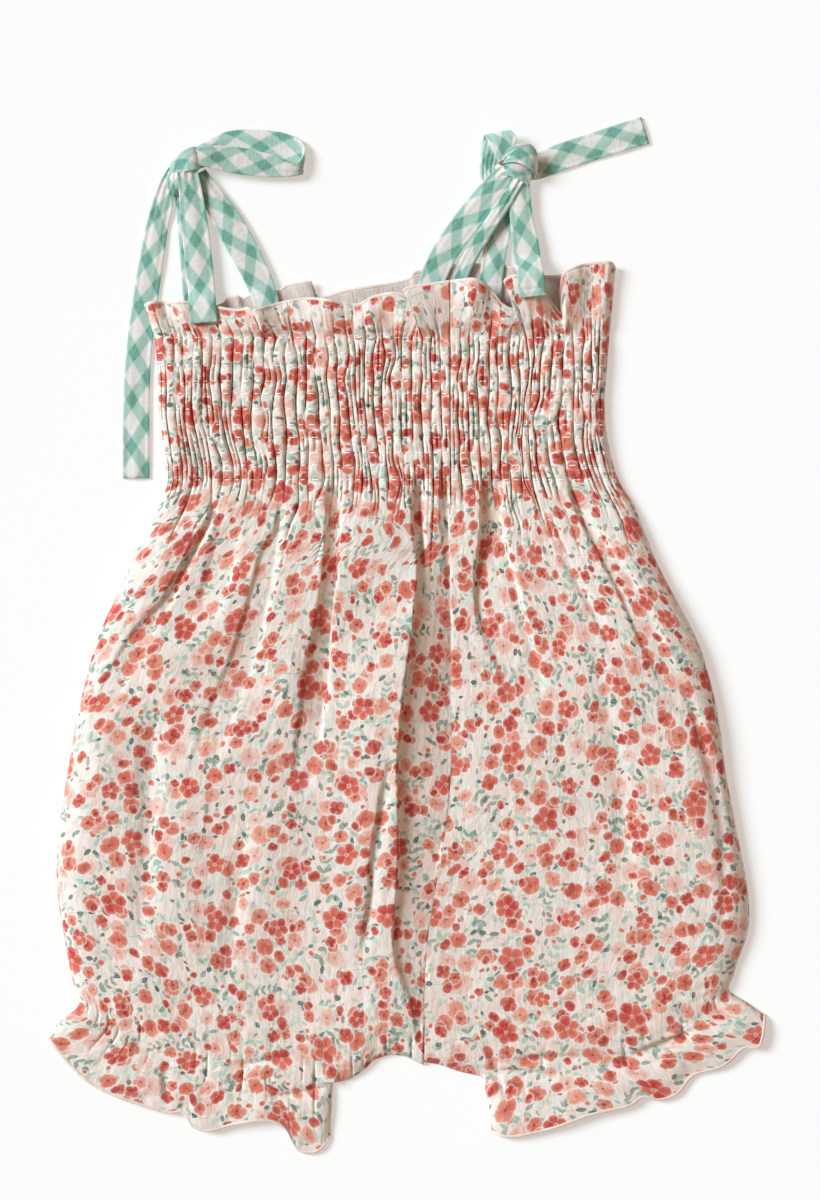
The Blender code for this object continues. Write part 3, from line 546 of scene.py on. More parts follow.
def panel_shape(face, side, cloth):
    """One half of the romper as a grid of points, worked out whole.

    Its height is the crests' height of its section, less the gathers' valleys, the folds and the
    pinch of the elastic threads, plus soft unevenness, rounded off towards the side seam.
    """
    front = face == "front"
    gathers, steps, seed = DIVISIONS[face, side]
    columns = gathers * steps
    pieces = [np.linspace(row.start, row.end, (row.front if front else row.back) + 1)[:-1] for row in ROWS]
    place = np.concatenate(pieces + [[LEG_EDGE]])
    count = len(place)
    size = (count, columns + 1)
    control, leg_columns = control_rows(face, side, columns)
    flat = spline_weights(len(control), np.clip(place - FIRST_ELASTIC, 0, None)) @ control.reshape(len(control), -1)
    flat = flat.reshape(count, columns + 1, 2)

    # Valleys wander and lean a little. The seams, the hem and the ruffle's edge stay put.
    profile = gather_profile(gathers, steps)
    ends = np.sin(np.pi * np.linspace(0, 1, columns + 1)) ** 0.5
    held = np.interp(place, (0, FIRST_ELASTIC, 15, HEM), (0, 1, 1, 0))[:, None]
    wander = 0.15 * soft_noise(seed, size, (30, gathers + 1)) + 0.5 * soft_noise(seed + 1, size, (7, 6))
    shifted = np.arange(columns + 1) + steps * np.clip(wander, -2, 2) * ends * held
    flat = read_columns(flat, np.clip(np.sort(shifted, axis=1), 0, columns))
    shares = np.linspace(0, 1, columns + 1)
    width = np.linalg.norm(control[:, 0] - control[:, -1], axis=1)
    width = (spline_weights(len(control), np.clip(place - FIRST_ELASTIC, 0, None)) @ width)[:, None]
    mean_y = flat[..., 1].mean(axis=1)
    first_y, last_y = SECTIONS[0].seam_y, SECTIONS[4].seam_y
    below = np.clip(last_y - mean_y, 0, None)[:, None]

    # The ruffle: straight lines from the first elastic up to its edge, bulging on the way.
    edges = np.array(TOP_EDGES[face, side])
    at_edge = np.interp(shares, edges[:, 0], np.arange(len(edges)))
    edge = spline_weights(len(edges), at_edge) @ edges[:, 1:]
    rise = np.clip(1 - place / FIRST_ELASTIC, 0, 1)[:, None]
    ruffle = rise > 0
    root = flat[np.argmax(place >= FIRST_ELASTIC)]
    flat = np.where(ruffle[..., None], root + (edge[:, :2] - root) * rise[..., None], flat)
    above = np.where(ruffle, np.linalg.norm(edge[:, :2] - root, axis=1) * rise, 0.0)

    # Crests' height.
    crests = np.array([section.crest for section in SECTIONS] + list(CRESTS_BELOW))
    crest = (spline_weights(len(crests), np.clip(place - FIRST_ELASTIC, 0, None)) @ crests)[:, None]
    if not front:
        crest = np.interp(place, (0, 2, 6, 9, 19, 21, 23), (1.3, 1.3, 1.6, 1.0, 1.0, 1.3, 1.3))[:, None]
    flutes = soft_noise(seed + 2, size, (4, gathers // 2 + 2))
    bulge = 4 * rise * (1 - rise) * (1.1 + 0.7 * soft_noise(seed + 3, size, (3, gathers // 2)))
    lift = crest + (edge[:, 2] - crest) * ease(rise) + (bulge if front else bulge * 0.3)
    calm = np.clip(np.minimum(shares, 1 - shares) / 0.1, 0, 1)
    lift = lift + flutes * rise * (1.3 if front else 0.3) * calm

    # Gathers.
    rng = np.random.default_rng(seed + 4)
    valley = np.clip(0.76 + 0.45 * soft_noise(seed + 5, (count, gathers + 1), (36, gathers + 1)), 0.08, 1.25)
    long_tuck = rng.random(gathers + 1) < 0.3
    fall = np.where(long_tuck, rng.uniform(14, 26, gathers + 1), rng.uniform(4, 12, gathers + 1))
    climb = rng.uniform(4.0, 10.0, gathers + 1)
    valley[:, -1], fall[-1], climb[-1] = 0.6, 14.0, 5.0
    held_up = np.interp(place, (FIRST_ELASTIC, FIRST_ELASTIC + 0.5, LAST_ELASTIC), (0.5, 1.0, 0.95))[:, None]
    released = np.exp(-(below / fall) ** 1.4)
    opened = np.exp(-(above[:, ::steps] / climb) ** 1.4) if front else np.exp(-rise * 3)
    depth = cloth.gather_depth / MM * (1.0 if front else 0.3)
    held_in = held_up * released * opened * depth
    between = np.roll(profile, steps // 2, axis=1)
    slits = np.clip(HALF_GATHER * soft_noise(seed + 12, (count, gathers + 1), (30, gathers + 1)), 0, 0.8)
    drop = (valley * held_in) @ profile + (slits * held_in)[:, :-1] @ between[:-1]

    # The leg's elastic gathers the hem, and its ruffle flutes below it.
    from_hem = np.abs(mean_y - mean_y[np.argmax(place >= HEM)])[:, None]
    leg_valley = np.clip(0.4 + 0.7 * soft_noise(seed + 6, (count, gathers + 1), (16, gathers + 1)), 0, 1.3)
    leg_fall = np.where(place[:, None] < HEM, rng.uniform(3, 10, gathers + 1), rng.uniform(4, 9, gathers + 1))
    leg = (leg_valley * np.exp(-(from_hem / leg_fall) ** 1.3) * (place[:, None] > 15)) @ profile
    drop = drop + leg * (cloth.leg_gather_depth / MM if front else 0.4)
    past_hem = np.clip((place - HEM) / (LEG_EDGE - HEM), 0, 1)[:, None]
    waves = soft_noise(seed + 7, size, (5, gathers // 3))
    lift = lift + waves * past_hem * (1.1 if front else 0.25)

    # The elastic's pinch, and soft unevenness that calms down towards the seams.
    thread_gap = (first_y - last_y) / (THREAD_ROWS - 1)
    off_thread = (first_y - mean_y + thread_gap / 2) % thread_gap - thread_gap / 2
    in_shirring = (place >= FIRST_ELASTIC - 0.3) & (place <= LAST_ELASTIC + 0.1)
    pinch = 0.75 * np.exp(-(off_thread / 1.1) ** 2) * in_shirring
    body = np.interp(place, (5, 8, 18, 20), (0, 1, 1, 0.5))[:, None]
    uneven = 0.75 * soft_noise(seed + 8, size, (16, max(gathers // 3, 4))) * body
    crinkle = 0.16 * soft_noise(seed + 9, size, (count // 2, columns // 4)) * (1 - 0.6 * body)
    crest_play = 0.3 * soft_noise(seed + 10, size, (26, gathers)) * (1 - body)
    if front:
        height = lift - drop - pinch[:, None] + (uneven + crinkle + crest_play) * calm
        across_folds = flat[..., 0].copy()
        across_folds[:, -1] -= SEAM_INSET
        pressed = fold_depth(FOLDS, across_folds, flat[..., 1])
        height = height - pressed - fold_depth(LEG_FOLDS, flat[..., 1], flat[..., 0])
        lip = LIP * ease(pressed[:, -1:] / LIP_DEPTH)
        flat[:, -1:, 0] += lip
        if side == "right":
            flat[:, -4:-1, 0] -= lip * LIP_COLUMNS
    else:
        height = lift - drop - 0.3 * pinch[:, None] + 0.25 * uneven * calm

    # The side seam, the inner leg and the crotch's edge lie on the back.
    seam_height = 0.95 if front else 0.45
    reach = np.interp(place, (0, 2, 6, 9, 19, 21, 23), (3.0, 5.0, 7.0, 15.0, 16.0, 9.0, 6.0))[:, None]
    inner = np.where(place[:, None] >= HEM, np.clip(leg_columns / columns - shares, 0, 1), 1.0)
    from_side = np.minimum(shares, inner) * width
    hem_line = flat[np.argmax(place >= HEM)]
    crotch = ease((shares - leg_columns / columns) / 0.02)
    from_crotch = np.clip((flat[..., 1] - hem_line[:, 1]) / 9.0, 0, 1)
    crotch_round = 1 - crotch * (1 - np.sqrt(1 - (1 - from_crotch) ** 2)) * (place[:, None] > 15)
    side_round = np.sqrt(1 - (1 - np.clip(from_side / reach, 0, 1)) ** 2)
    lowest = 1.9 if front else 0.6
    height = np.maximum(height, lowest + 0.2 * calm)
    height = seam_height + (height - seam_height) * side_round * crotch_round

    present = np.ones(size, bool)
    present[np.ix_(place > HEM, shares > leg_columns / columns)] = False
    points = np.dstack((flat, height))
    return SimpleNamespace(points=points, present=present, place=place, leg_columns=leg_columns,
                           steps=steps, gathers=gathers, uv=cloth_map(points, place, side, profile.sum(axis=0)))


# Width of the cut from side seam to centre seam at the chest and at the body, mm.
CUT_WIDTHS = {"left": (190.0, 168.0), "right": (132.0, 140.0)}
SLIT_CLOTH = 3.5         # how much more cloth a slit takes up than a crest of the same width
SEAM_SHIFT = 43.0        # by which the right halves' print is out of step with the left ones', mm


def cloth_map(points, place, side, valleys):
    """UV places along the cloth: across its cut from the centre seam, and arc length down the cloth.

    Across the body the cut is shared out by arc length, so steep banks take up their own cloth. Across
    the chest the valleys, one weight per column, take up more of the cloth than the crests.
    """
    width = np.interp(place, (LAST_ELASTIC - 1, 13), CUT_WIDTHS[side])[:, None]
    weight = 1 + SLIT_CLOTH * (valleys[1:] + valleys[:-1]) / 2
    gathered = np.concatenate((weight[::-1].cumsum()[::-1] / weight.sum(), [0]))
    share = np.interp(place, (LAST_ELASTIC, 9), (1, 0))[:, None]
    arc = np.linalg.norm(np.diff(points, axis=1, append=points[:, -1:]), axis=2)[:, ::-1].cumsum(axis=1)[:, ::-1]
    across = width * (gathered * share + arc / arc[:, :1] * (1 - share))
    step = np.linalg.norm(np.diff(points, axis=0, prepend=points[:1]), axis=2)
    ruffle = (place <= FIRST_ELASTIC)[:, None]
    step = box_blur(np.where(ruffle, step.mean(axis=1, keepdims=True), step), 16, 1)
    down = step.cumsum(axis=0)
    return np.dstack((-across if side == "left" else across + SEAM_SHIFT, -down)) * MM


# ---------------------------------------------------------------- shader arithmetic


class Wire:
    """A socket of a material's nodes. Arithmetic on it adds Math nodes."""

    def __init__(self, tree, socket=None):
        self.tree = tree
        self.socket = socket

    def node(self, kind, settings=None, inputs=None, output=0):
        """Add a node, give it its settings, then its values or links, and return one output."""
        node = self.tree.nodes.new(kind)
        for name, value in (settings or {}).items():
            setattr(node, name, value)
        for key, value in (inputs or {}).items():
            if isinstance(value, Wire):
                self.tree.links.new(value.socket, node.inputs[key])
            else:
                node.inputs[key].default_value = value
        return Wire(self.tree, node.outputs[output])

    def also(self, output):
        """Another output of the same node."""
        return Wire(self.tree, self.socket.node.outputs[output])

    def math(self, operation, *values):
        return self.node("ShaderNodeMath", {"operation": operation}, dict(enumerate(values)))

    def vector(self, operation, *values):
        """Vector Math on this socket and the values."""
        return self.node("ShaderNodeVectorMath", {"operation": operation}, dict(enumerate((self,) + values)))

    def scaled(self, number):
        """This vector times a number."""
        return self.node("ShaderNodeVectorMath", {"operation": "SCALE"}, {0: self, "Scale": number})

    def __add__(self, other):
        return self.math("ADD", self, other)

    def __radd__(self, other):
        return self.math("ADD", other, self)

    def __sub__(self, other):
        return self.math("SUBTRACT", self, other)

    def __rsub__(self, other):
        return self.math("SUBTRACT", other, self)

    def __mul__(self, other):
        return self.math("MULTIPLY", self, other)

    def __rmul__(self, other):
        return self.math("MULTIPLY", other, self)

    def __truediv__(self, other):
        return self.math("DIVIDE", self, other)

    def __rtruediv__(self, other):
        return self.math("DIVIDE", other, self)

    def __pow__(self, other):
        return self.math("POWER", self, other)

    def __mod__(self, other):
        return self.math("FLOORED_MODULO", self, other)

    def __abs__(self):
        return self.math("ABSOLUTE", self)

    def step(self, low, high):
        """Smooth step from 0 at low to 1 at high."""
        return self.node("ShaderNodeMapRange", {"interpolation_type": "SMOOTHSTEP"}, {0: self, 1: low, 2: high})

    def split(self):
        """The vector's or colour's three numbers."""
        first = self.node("ShaderNodeSeparateXYZ", {}, {0: self})
        return first, first.also(1), first.also(2)

    def tint(self, start, end):
        """Colour between two colours, with this socket as the share of the second."""
        return self.node("ShaderNodeMix", {"data_type": "RGBA"}, {0: self, 6: start, 7: end}, 2)


def linear(red, green, blue):
    """Scene-linear colour of an 8-bit display colour."""
    levels = np.array((red, green, blue)) / 255
    return tuple(np.where(levels <= 0.04045, levels / 12.92, ((levels + 0.055) / 1.055) ** 2.4).tolist())


def paint(colour):
    """A colour setting with its alpha."""
    return (*colour, 1.0)


def cloth_place(start):
    """The piece's UV place in millimetres along the cloth."""
    uv = start.node("ShaderNodeUVMap", {"uv_map": UV_NAME})
    return uv.vector("MULTIPLY", (1 / MM, 1 / MM, 0.0))


# The print's layers, painted in this order, in mm: how far apart the motifs are, their size, their
# colours and where their scatter starts. A leaf with a sprig stands in pairs, that far apart. A
# flower's petals are discs set round its middle. Out says how far, as a share of its radius, and gap
# how plainly they are parted.
Leaf = namedtuple("Leaf", "spacing length width sprig strength first second start")
Flower = namedtuple("Flower", "spacing radius petals out gap first second heart dot ring edge strength start")

LEAVES = (
    Leaf(17.0, 1.8, 0.9, 3.6, 0.5, "mint", "sage", (3.2, 8.1, 0.0)),
    Leaf(8.5, 1.7, 0.85, 0, 0.7, "mint", "sage", (41.3, 17.7, 0.0)),
    Leaf(19.0, 1.6, 0.75, 3.4, 0.9, "sage", "grey_green", (71.9, 27.3, 0.0)),
    Leaf(8.0, 1.6, 0.75, 0, 0.9, "sage", "grey_green", (23.4, 61.9, 0.0)),
    Leaf(9.0, 1.4, 0.7, 0, 0.97, "grey_green", "deep_green", (13.9, 52.4, 0.0)),
    Leaf(11.5, 1.25, 0.8, 0, 1.0, "deep_green", "deep_green", (33.1, 12.6, 0.0)),
)
FLOWERS = (
    Flower(11.0, 1.25, 2, 0.2, 0.0, "salmon", "coral", "red", 0.0, 0.0, 0.3, 0.95, (83.1, 5.9, 0.0)),
    Flower(21.0, 3.9, 5, 0.3, 0.0, "pale_pink", "blush", "coral", 0.35, 0.0, 1.1, 0.85, (7.3, 31.9, 0.0)),
    Flower(20.0, 3.3, 4, 0.3, 0.0, "pale_pink", "salmon", "coral", 0.35, 0.0, 0.7, 0.9, (50.4, 90.2, 0.0)),
    Flower(19.0, 3.3, 4, 0.3, 0.0, "salmon", "coral", "red", 0.4, 0.0, 0.4, 0.95, (19.4, 3.3, 0.0)),
    Flower(21.0, 3.2, 5, 0.4, 0.1, "coral", "salmon", "deep_red", 0.45, 0.0, 0.35, 0.97, (61.7, 11.2, 0.0)),
    Flower(16.0, 2.35, 2, 0.2, 0.0, "red", "coral", "deep_red", 0.0, 0.0, 0.3, 0.97, (47.9, 83.2, 0.0)),
    Flower(24.0, 3.1, 4, 0.4, 0.1, "red", "coral", "deep_red", 0.3, 0.0, 0.3, 0.97, (27.1, 44.6, 0.0)),
    Flower(30.0, 4.8, 5, 0.54, 0.15, "coral", "red", "red", 0.0, 0.6, 0.3, 0.97, (5.8, 71.3, 0.0)),
)
LEAF_EDGE = 0.2          # half the width of a leaf's painted edge
HALO = 0.3               # pale rim that is left round each flower


def scatter(place, spacing, start):
    """Cells of a scatter: the place in mm from the cell's middle, and the cell's random numbers."""
    cells = place.vector("MULTIPLY_ADD", (1 / spacing,) * 3, start)
    distance = cells.node("ShaderNodeTexVoronoi", {"voronoi_dimensions": "2D", "feature": "F1"},
                          {"Vector": cells, "Scale": 1.0, "Randomness": 0.72})
    off = cells.vector("SUBTRACT", distance.also("Position")).scaled(spacing)
    return off, distance * spacing, distance.also("Color").split()


def paint_leaves(colour, place, leaf, mottle, shades):
    """Oval leaves, each turned its own way: |y| < width * sqrt(1 - (x / length)^2).

    A sprig has such leaves in pairs, at 45 degrees from its stem.
    """
    off, _, (turn, tone, scale) = scatter(place, leaf.spacing, leaf.start)
    angle = turn * (2 * np.pi)
    x, y, _ = off.split()
    cos, sin = off.math("COSINE", angle), off.math("SINE", angle)
    size = scale * 0.6 + 0.7
    along = (x * cos + y * sin) / size
    beside = abs(y * cos - x * sin) / size
    strength = (tone * 0.25 + 0.75) * leaf.strength
    if leaf.sprig:
        strength = strength * (2 * leaf.sprig - abs(along)).step(-LEAF_EDGE, LEAF_EDGE)
        joint = along % leaf.sprig
        along, beside = (joint + beside) * np.sqrt(0.5) - leaf.length, abs(beside - joint) * np.sqrt(0.5)
    reach = off.math("SQRT", off.math("MAXIMUM", 1 - (along / leaf.length) ** 2, 0.0))
    inside = reach * leaf.width - beside
    leaf_colour = (tone + mottle - 0.5).step(0.2, 0.8).tint(shades[leaf.first], shades[leaf.second])
    inner = inside.step(0.1, 0.6) * 0.15
    leaf_colour = inner.tint(leaf_colour, shades["ground"])
    return (strength * inside.step(-LEAF_EDGE, LEAF_EDGE)).tint(colour, leaf_colour)


def paint_flowers(colour, place, flower, mottle, shades):
    """Flowers whose petals are discs set round the middle, each of its own size and tone.

    In a petal's own frame, with the flower's radius as 1, its disc is |(x - out, y)| < 1 - out times
    the petal's size. A smaller disc fills the flower's middle.
    """
    off, distance, (turn, scale, tone) = scatter(place, flower.spacing, flower.start)
    x, y, _ = off.split()
    around = (off.math("ARCTAN2", y, x) / (2 * np.pi) + turn) * flower.petals
    petal = off.math("FLOOR", around)
    from_petal = (around - petal - 0.5) * (2 * np.pi / flower.petals)
    number = off.node("ShaderNodeCombineXYZ", {}, {0: petal % flower.petals, 1: turn * 40.0, 2: tone * 40.0})
    each = off.node("ShaderNodeTexWhiteNoise", {"noise_dimensions": "3D"}, {"Vector": number})
    radius = (scale * 0.5 + 0.75) * flower.radius
    away = distance / radius
    outward = away * off.math("COSINE", from_petal) - flower.out
    beside = away * off.math("SINE", from_petal)
    from_disc = off.math("SQRT", outward * outward + beside * beside)
    size = (each * 0.3 + 0.82) * (1 - flower.out)
    inside = off.math("MAXIMUM", size - from_disc, flower.out * 0.9 - away) * radius
    share = (each * 0.8 + tone * 0.2 + (mottle - 0.5) * 1.4).step(0.35, 0.65)
    petals = share.tint(shades[flower.first], shades[flower.second])
    petals = ((from_disc / size).step(0.45, 1.0) * 0.22).tint(petals, shades["halo"])
    glow = (1 - away.step(0.05, 0.75)) * 0.5 + (outward + mottle).step(0.6, 0.9) * 0.25
    petals = glow.tint(petals, shades[flower.heart])
    gap = (np.pi / flower.petals - abs(from_petal)) * distance
    petals = ((1 - gap.step(0.05, 0.35)) * away.step(0.25, 0.5) * flower.gap).tint(petals, shades["halo"])
    if flower.dot:
        petals = ((1 - distance.step(flower.dot * 0.6, flower.dot * 1.6)) * 0.9).tint(petals, shades["deep_red"])
    if flower.ring:
        petals = ((1 - abs(distance - flower.ring).step(0.05, 0.35)) * 0.6).tint(petals, shades["ground"])
    halo = (inside.step(-HALO - flower.edge, -HALO) - inside.step(0.0, flower.edge)) * 0.5 * flower.strength
    colour = halo.tint(colour, shades["halo"])
    return (inside.step(-flower.edge, flower.edge) * flower.strength).tint(colour, petals)


def print_colour(place, shades):
    """The whole print: ground, leaves, then flowers, each over what was painted before."""
    blur = place.node("ShaderNodeTexNoise", {"noise_dimensions": "2D"},
                      {"Vector": place, "Scale": 0.33, "Detail": 2.0, "Roughness": 0.5}, 1)
    push = blur.vector("SUBTRACT", (0.5, 0.5, 0.5)).vector("MULTIPLY", (1.1, 1.1, 0.0))
    moved = place.vector("ADD", push)
    mottle = place.node("ShaderNodeTexNoise", {"noise_dimensions": "2D"},
                        {"Vector": place, "Scale": 0.75, "Detail": 3.0, "Roughness": 0.6})
    stain = place.node("ShaderNodeTexNoise", {"noise_dimensions": "2D"},
                       {"Vector": place, "Scale": 0.13, "Detail": 2.0})
    colour = (stain.step(0.42, 0.62) * 0.7).tint(shades["ground"], shades["blush"])
    leafy = place.node("ShaderNodeTexNoise", {"noise_dimensions": "2D"},
                       {"Vector": place.vector("ADD", (90.0, 40.0, 0.0)), "Scale": 0.1, "Detail": 2.0})
    colour = (leafy.step(0.5, 0.64) * 0.22).tint(colour, shades["mint"])
    for leaf in LEAVES:
        colour = paint_leaves(colour, moved, leaf, mottle, shades)
    for flower in FLOWERS:
        colour = paint_flowers(colour, moved, flower, mottle, shades)
    return (mottle.step(0.45, 0.8) * 0.18).tint(colour, shades["ground"])


def cloth_bump(shader, place, crinkle, weave):
    """Crinkle of soft cotton, longer down the cloth, and a fine plain weave."""
    long_way = place.vector("MULTIPLY", (0.42, 0.16, 0.0))
    creases = place.node("ShaderNodeTexNoise", {"noise_dimensions": "2D"},
                         {"Vector": long_way, "Scale": 1.0, "Detail": 3.0, "Roughness": 0.55})
    x, y, _ = place.scaled(2 * np.pi / weave).split()
    threads = place.math("SINE", x) * place.math("SINE", y)
    height = creases * crinkle + threads * 0.012
    return shader.node("ShaderNodeBump", {}, {"Strength": 0.8, "Distance": MM, "Height": height})


def cloth_material(name, colour_of, crinkle=0.5, weave=0.5, sheen=0.25):
    """Matte cotton whose colour is worked out from its place on the cloth."""
    material = bpy.data.materials.new(name)
    material.use_nodes = True
    tree = material.node_tree
    shader = tree.nodes["Principled BSDF"]
    start = Wire(tree)
    place = cloth_place(start)
    colour = colour_of(place)
    uneven = place.node("ShaderNodeTexNoise", {"noise_dimensions": "2D"}, {"Vector": place, "Scale": 0.7})
    tree.links.new(colour.socket, shader.inputs["Base Color"])
    tree.links.new((uneven * 0.15 + 0.78).socket, shader.inputs["Roughness"])
    tree.links.new(cloth_bump(start, place, crinkle, weave).socket, shader.inputs["Normal"])
    shader.inputs["Sheen Weight"].default_value = sheen
    shader.inputs["Sheen Roughness"].default_value = 0.5
    shader.inputs["Specular IOR Level"].default_value = 0.2
    return material


def print_shades(colours):
    """The print's colour settings by name."""
    names = ("ground", "halo", "blush", "pale_pink", "salmon", "coral", "red", "deep_red", "sage", "mint",
             "grey_green", "deep_green")
    return {name: paint(getattr(colours, name)) for name in names}


def print_material(colours):
    """Right side of the floral cotton."""
    shades = print_shades(colours)
    return cloth_material("floral cotton", lambda place: print_colour(place, shades))


def wrong_side_material(colours):
    """Wrong side of the floral cotton: the print shows through, pale and dusty."""
    shades = print_shades(colours)

    def faded(place):
        return place.node("ShaderNodeMix", {"data_type": "RGBA"},
                          {0: colours.wrong_side_fade, 6: print_colour(place, shades),
                           7: paint(colours.wrong_side)}, 2)
    return cloth_material("floral cotton, wrong side", faded)


CHECK_BLUR = 0.05        # softness of a check's edge, in checks


def gingham_material(ties):
    """Woven gingham cut on the bias: cream, one band of mint, or two that cross."""
    def checks(place):
        x, y, _ = place.split()
        x, y = x / (ties.check_length / MM), y / (ties.check_width / MM)
        bands = []
        for thread in (x + y, x - y):
            ramp = place.math("PINGPONG", thread, 0.5)
            bands.append(ramp.step(0.5 - ties.band / 2 - CHECK_BLUR, 0.5 - ties.band / 2 + CHECK_BLUR))
        once = bands[0] + bands[1] - bands[0] * bands[1]
        twice = bands[0] * bands[1]
        colour = once.tint(paint(ties.cream), paint(ties.mint))
        colour = twice.tint(colour, paint(ties.deep_mint))
        slub = place.node("ShaderNodeTexNoise", {"noise_dimensions": "2D"},
                          {"Vector": place, "Scale": 1.4, "Detail": 3.0})
        return (slub.step(0.4, 0.8) * 0.22).tint(colour, paint(ties.cream))
    return cloth_material("gingham cotton", checks, 0.35, 0.6, 0.15)


def plain_material(name, first, second, crinkle=0.5):
    """Thread or hem: a soft play between two colours."""
    def play(place):
        tone = place.node("ShaderNodeTexNoise", {"noise_dimensions": "2D"}, {"Vector": place, "Scale": 0.5})
        return tone.step(0.35, 0.65).tint(paint(first), paint(second))
    return cloth_material(name, play, crinkle, 0.7, 0.2)


def hem_material(name, cloth, colours):
    """Rolled hem: slanting overlock thread over the cloth's own ground, with painted shade between the threads."""
    def play(place):
        x, y, _ = place.split()
        thread = place.math("PINGPONG", (x + y * 0.8) / 1.1, 0.5)
        tone = place.node("ShaderNodeTexNoise", {"noise_dimensions": "2D"}, {"Vector": place, "Scale": 0.12})
        base = tone.step(0.4, 0.6).tint(paint(cloth), paint(colours.blush))
        # The hem shadow colour is painted shade in the grooves between the overlock threads.
        return (thread.step(0.1, 0.4) * 0.3).tint(base, paint(colours.hem_shadow))
    return cloth_material(name, play, 0.25, 0.7, 0.2)


FLOOR_GLOW = 0.42        # share of the floor's brightness that is its own, as on a light table


def floor_material(colour):
    """Plain pale floor with a barely seen grain, lit a little from below so that shadows stay pale."""
    material = bpy.data.materials.new("pale floor")
    material.use_nodes = True
    tree = material.node_tree
    shader = tree.nodes["Principled BSDF"]
    start = Wire(tree)
    where = start.node("ShaderNodeTexCoord", output=3)
    grain = start.node("ShaderNodeTexNoise", {}, {"Vector": where, "Scale": 60.0, "Detail": 4.0})
    tree.links.new((grain * 0.06 + 0.82).socket, shader.inputs["Roughness"])
    shader.inputs["Base Color"].default_value = paint([level * (1 - FLOOR_GLOW) for level in colour])
    shader.inputs["Emission Color"].default_value = paint(colour)
    shader.inputs["Emission Strength"].default_value = FLOOR_GLOW
    shader.inputs["Specular IOR Level"].default_value = 0.1
    return material


def shared_material(name, make, *arguments):
    """The material of this name, made on first use."""
    return bpy.data.materials.get(name) or make(*arguments)


# ---------------------------------------------------------------- settings


def size_setting(name, description, default):
    """A length in metres."""
    return FloatProperty(name=name, description=description, default=default, min=0.0, unit="LENGTH",
                         subtype="DISTANCE", precision=5)


def colour_setting(name, description, red, green, blue):
    """A colour, given by its 8-bit display values."""
    return FloatVectorProperty(name=name, description=description, default=linear(red, green, blue),
                               subtype="COLOR", size=3, min=0.0, max=1.0)


class RomperCloth(bpy.types.PropertyGroup):
    """The cloth's own sizes."""
    thickness: size_setting("Cloth thickness", "Thickness of the printed cotton", 0.00035)
    gather_depth: size_setting("Gather depth", "Depth of the shirring's deepest valleys", 0.0026)
    leg_gather_depth: size_setting("Leg gather depth", "Depth of the gathers at the leg's elastic", 0.0014)
    hem_width: size_setting("Hem width", "Width of the rolled hem along the ruffles", 0.0015)
    hem_thickness: size_setting("Hem thickness", "Thickness of the rolled hem", 0.00068)
    thread: size_setting("Thread", "Thickness of the sewing thread", 0.00044)


class RomperColours(bpy.types.PropertyGroup):
    """Colours of the print and the threads."""
    ground: colour_setting("Ground", "Cloth between the motifs", 236, 221, 211)
    halo: colour_setting("Halo", "Rim left round the flowers", 246, 236, 226)
    blush: colour_setting("Blush", "Faint stain of the ground", 234, 208, 196)
    pale_pink: colour_setting("Pale pink", "Palest petals", 232, 180, 164)
    salmon: colour_setting("Salmon", "Light petals", 224, 140, 114)
    coral: colour_setting("Coral", "Middle petals", 212, 102, 76)
    red: colour_setting("Red", "Strong petals", 190, 54, 42)
    deep_red: colour_setting("Deep red", "Hearts of red flowers", 138, 24, 26)
    sage: colour_setting("Sage", "Soft green leaves", 154, 186, 166)
    mint: colour_setting("Mint", "Light leaves", 190, 220, 208)
    grey_green: colour_setting("Grey green", "Dusky leaves", 108, 140, 120)
    deep_green: colour_setting("Deep green", "Dark leaves", 40, 78, 66)
    wrong_side: colour_setting("Wrong side", "Back of the printed cloth", 208, 196, 187)
    wrong_side_fade: FloatProperty(name="Wrong side fade", description="How far the print is faded on the back",
                                   default=0.84, min=0.0, max=1.0, subtype="FACTOR")
    hem: colour_setting("Hem", "Rolled hem", 234, 224, 217)
    # Painted shade between the rolled hem's threads.
    hem_shadow: colour_setting("Hem shadow", "Between the hem's threads", 212, 188, 176)
    sewing: colour_setting("Sewing thread", "Stitches of the shirring", 250, 245, 240)


class RomperTies(bpy.types.PropertyGroup):
    """The shoulder ties' sizes and colours."""
    thickness: size_setting("Tie thickness", "Thickness of a pressed tie", 0.0012)
    check_length: size_setting("Check length", "From one crossing of bands to the next, down a tie", 0.0196)
    check_width: size_setting("Check width", "From one crossing of bands to the next, across a tie", 0.0126)
    band: FloatProperty(name="Band", description="Share of a check that its band takes up", default=0.42,
                        min=0.1, max=0.9, subtype="FACTOR")
    seam_inset: size_setting("Seam inset", "Edge stitching to the tie's edge", 0.0018)
    end_hem: size_setting("End hem", "Depth of the hem across a tie's end", 0.0032)
    cream: colour_setting("Cream", "Gingham's plain squares", 222, 218, 212)
    mint: colour_setting("Mint", "Gingham's single bands", 160, 194, 180)
    deep_mint: colour_setting("Deep mint", "Gingham's crossings", 100, 158, 140)


class RomperStage(bpy.types.PropertyGroup):
    """Floor, lights and camera."""
    lens: FloatProperty(name="Lens", description="Camera's focal length", default=85.0, unit="CAMERA")
    view_height: size_setting("View height", "Height of the floor that the picture takes in", 0.504)
    centre: FloatVectorProperty(name="Centre", description="Place that the camera looks at", size=2,
                                default=(0.00189, 0.01428), subtype="XYZ", unit="LENGTH")
    floor_colour: colour_setting("Floor colour", "Plain pale floor", 252, 251, 249)
    key_power: FloatProperty(name="Key power", description="Strength of the lamp from the upper left",
                             default=4.3, min=0.0)
    key_softness: FloatProperty(name="Key softness", description="Angle that the lamp fills",
                                default=0.42, min=0.0, subtype="ANGLE")
    sky: FloatProperty(name="Sky", description="Strength of the even light from all round", default=0.4, min=0.0)


# ---------------------------------------------------------------- pieces


def floral(colours):
    return (shared_material("floral cotton", print_material, colours),
            shared_material("floral cotton, wrong side", wrong_side_material, colours))


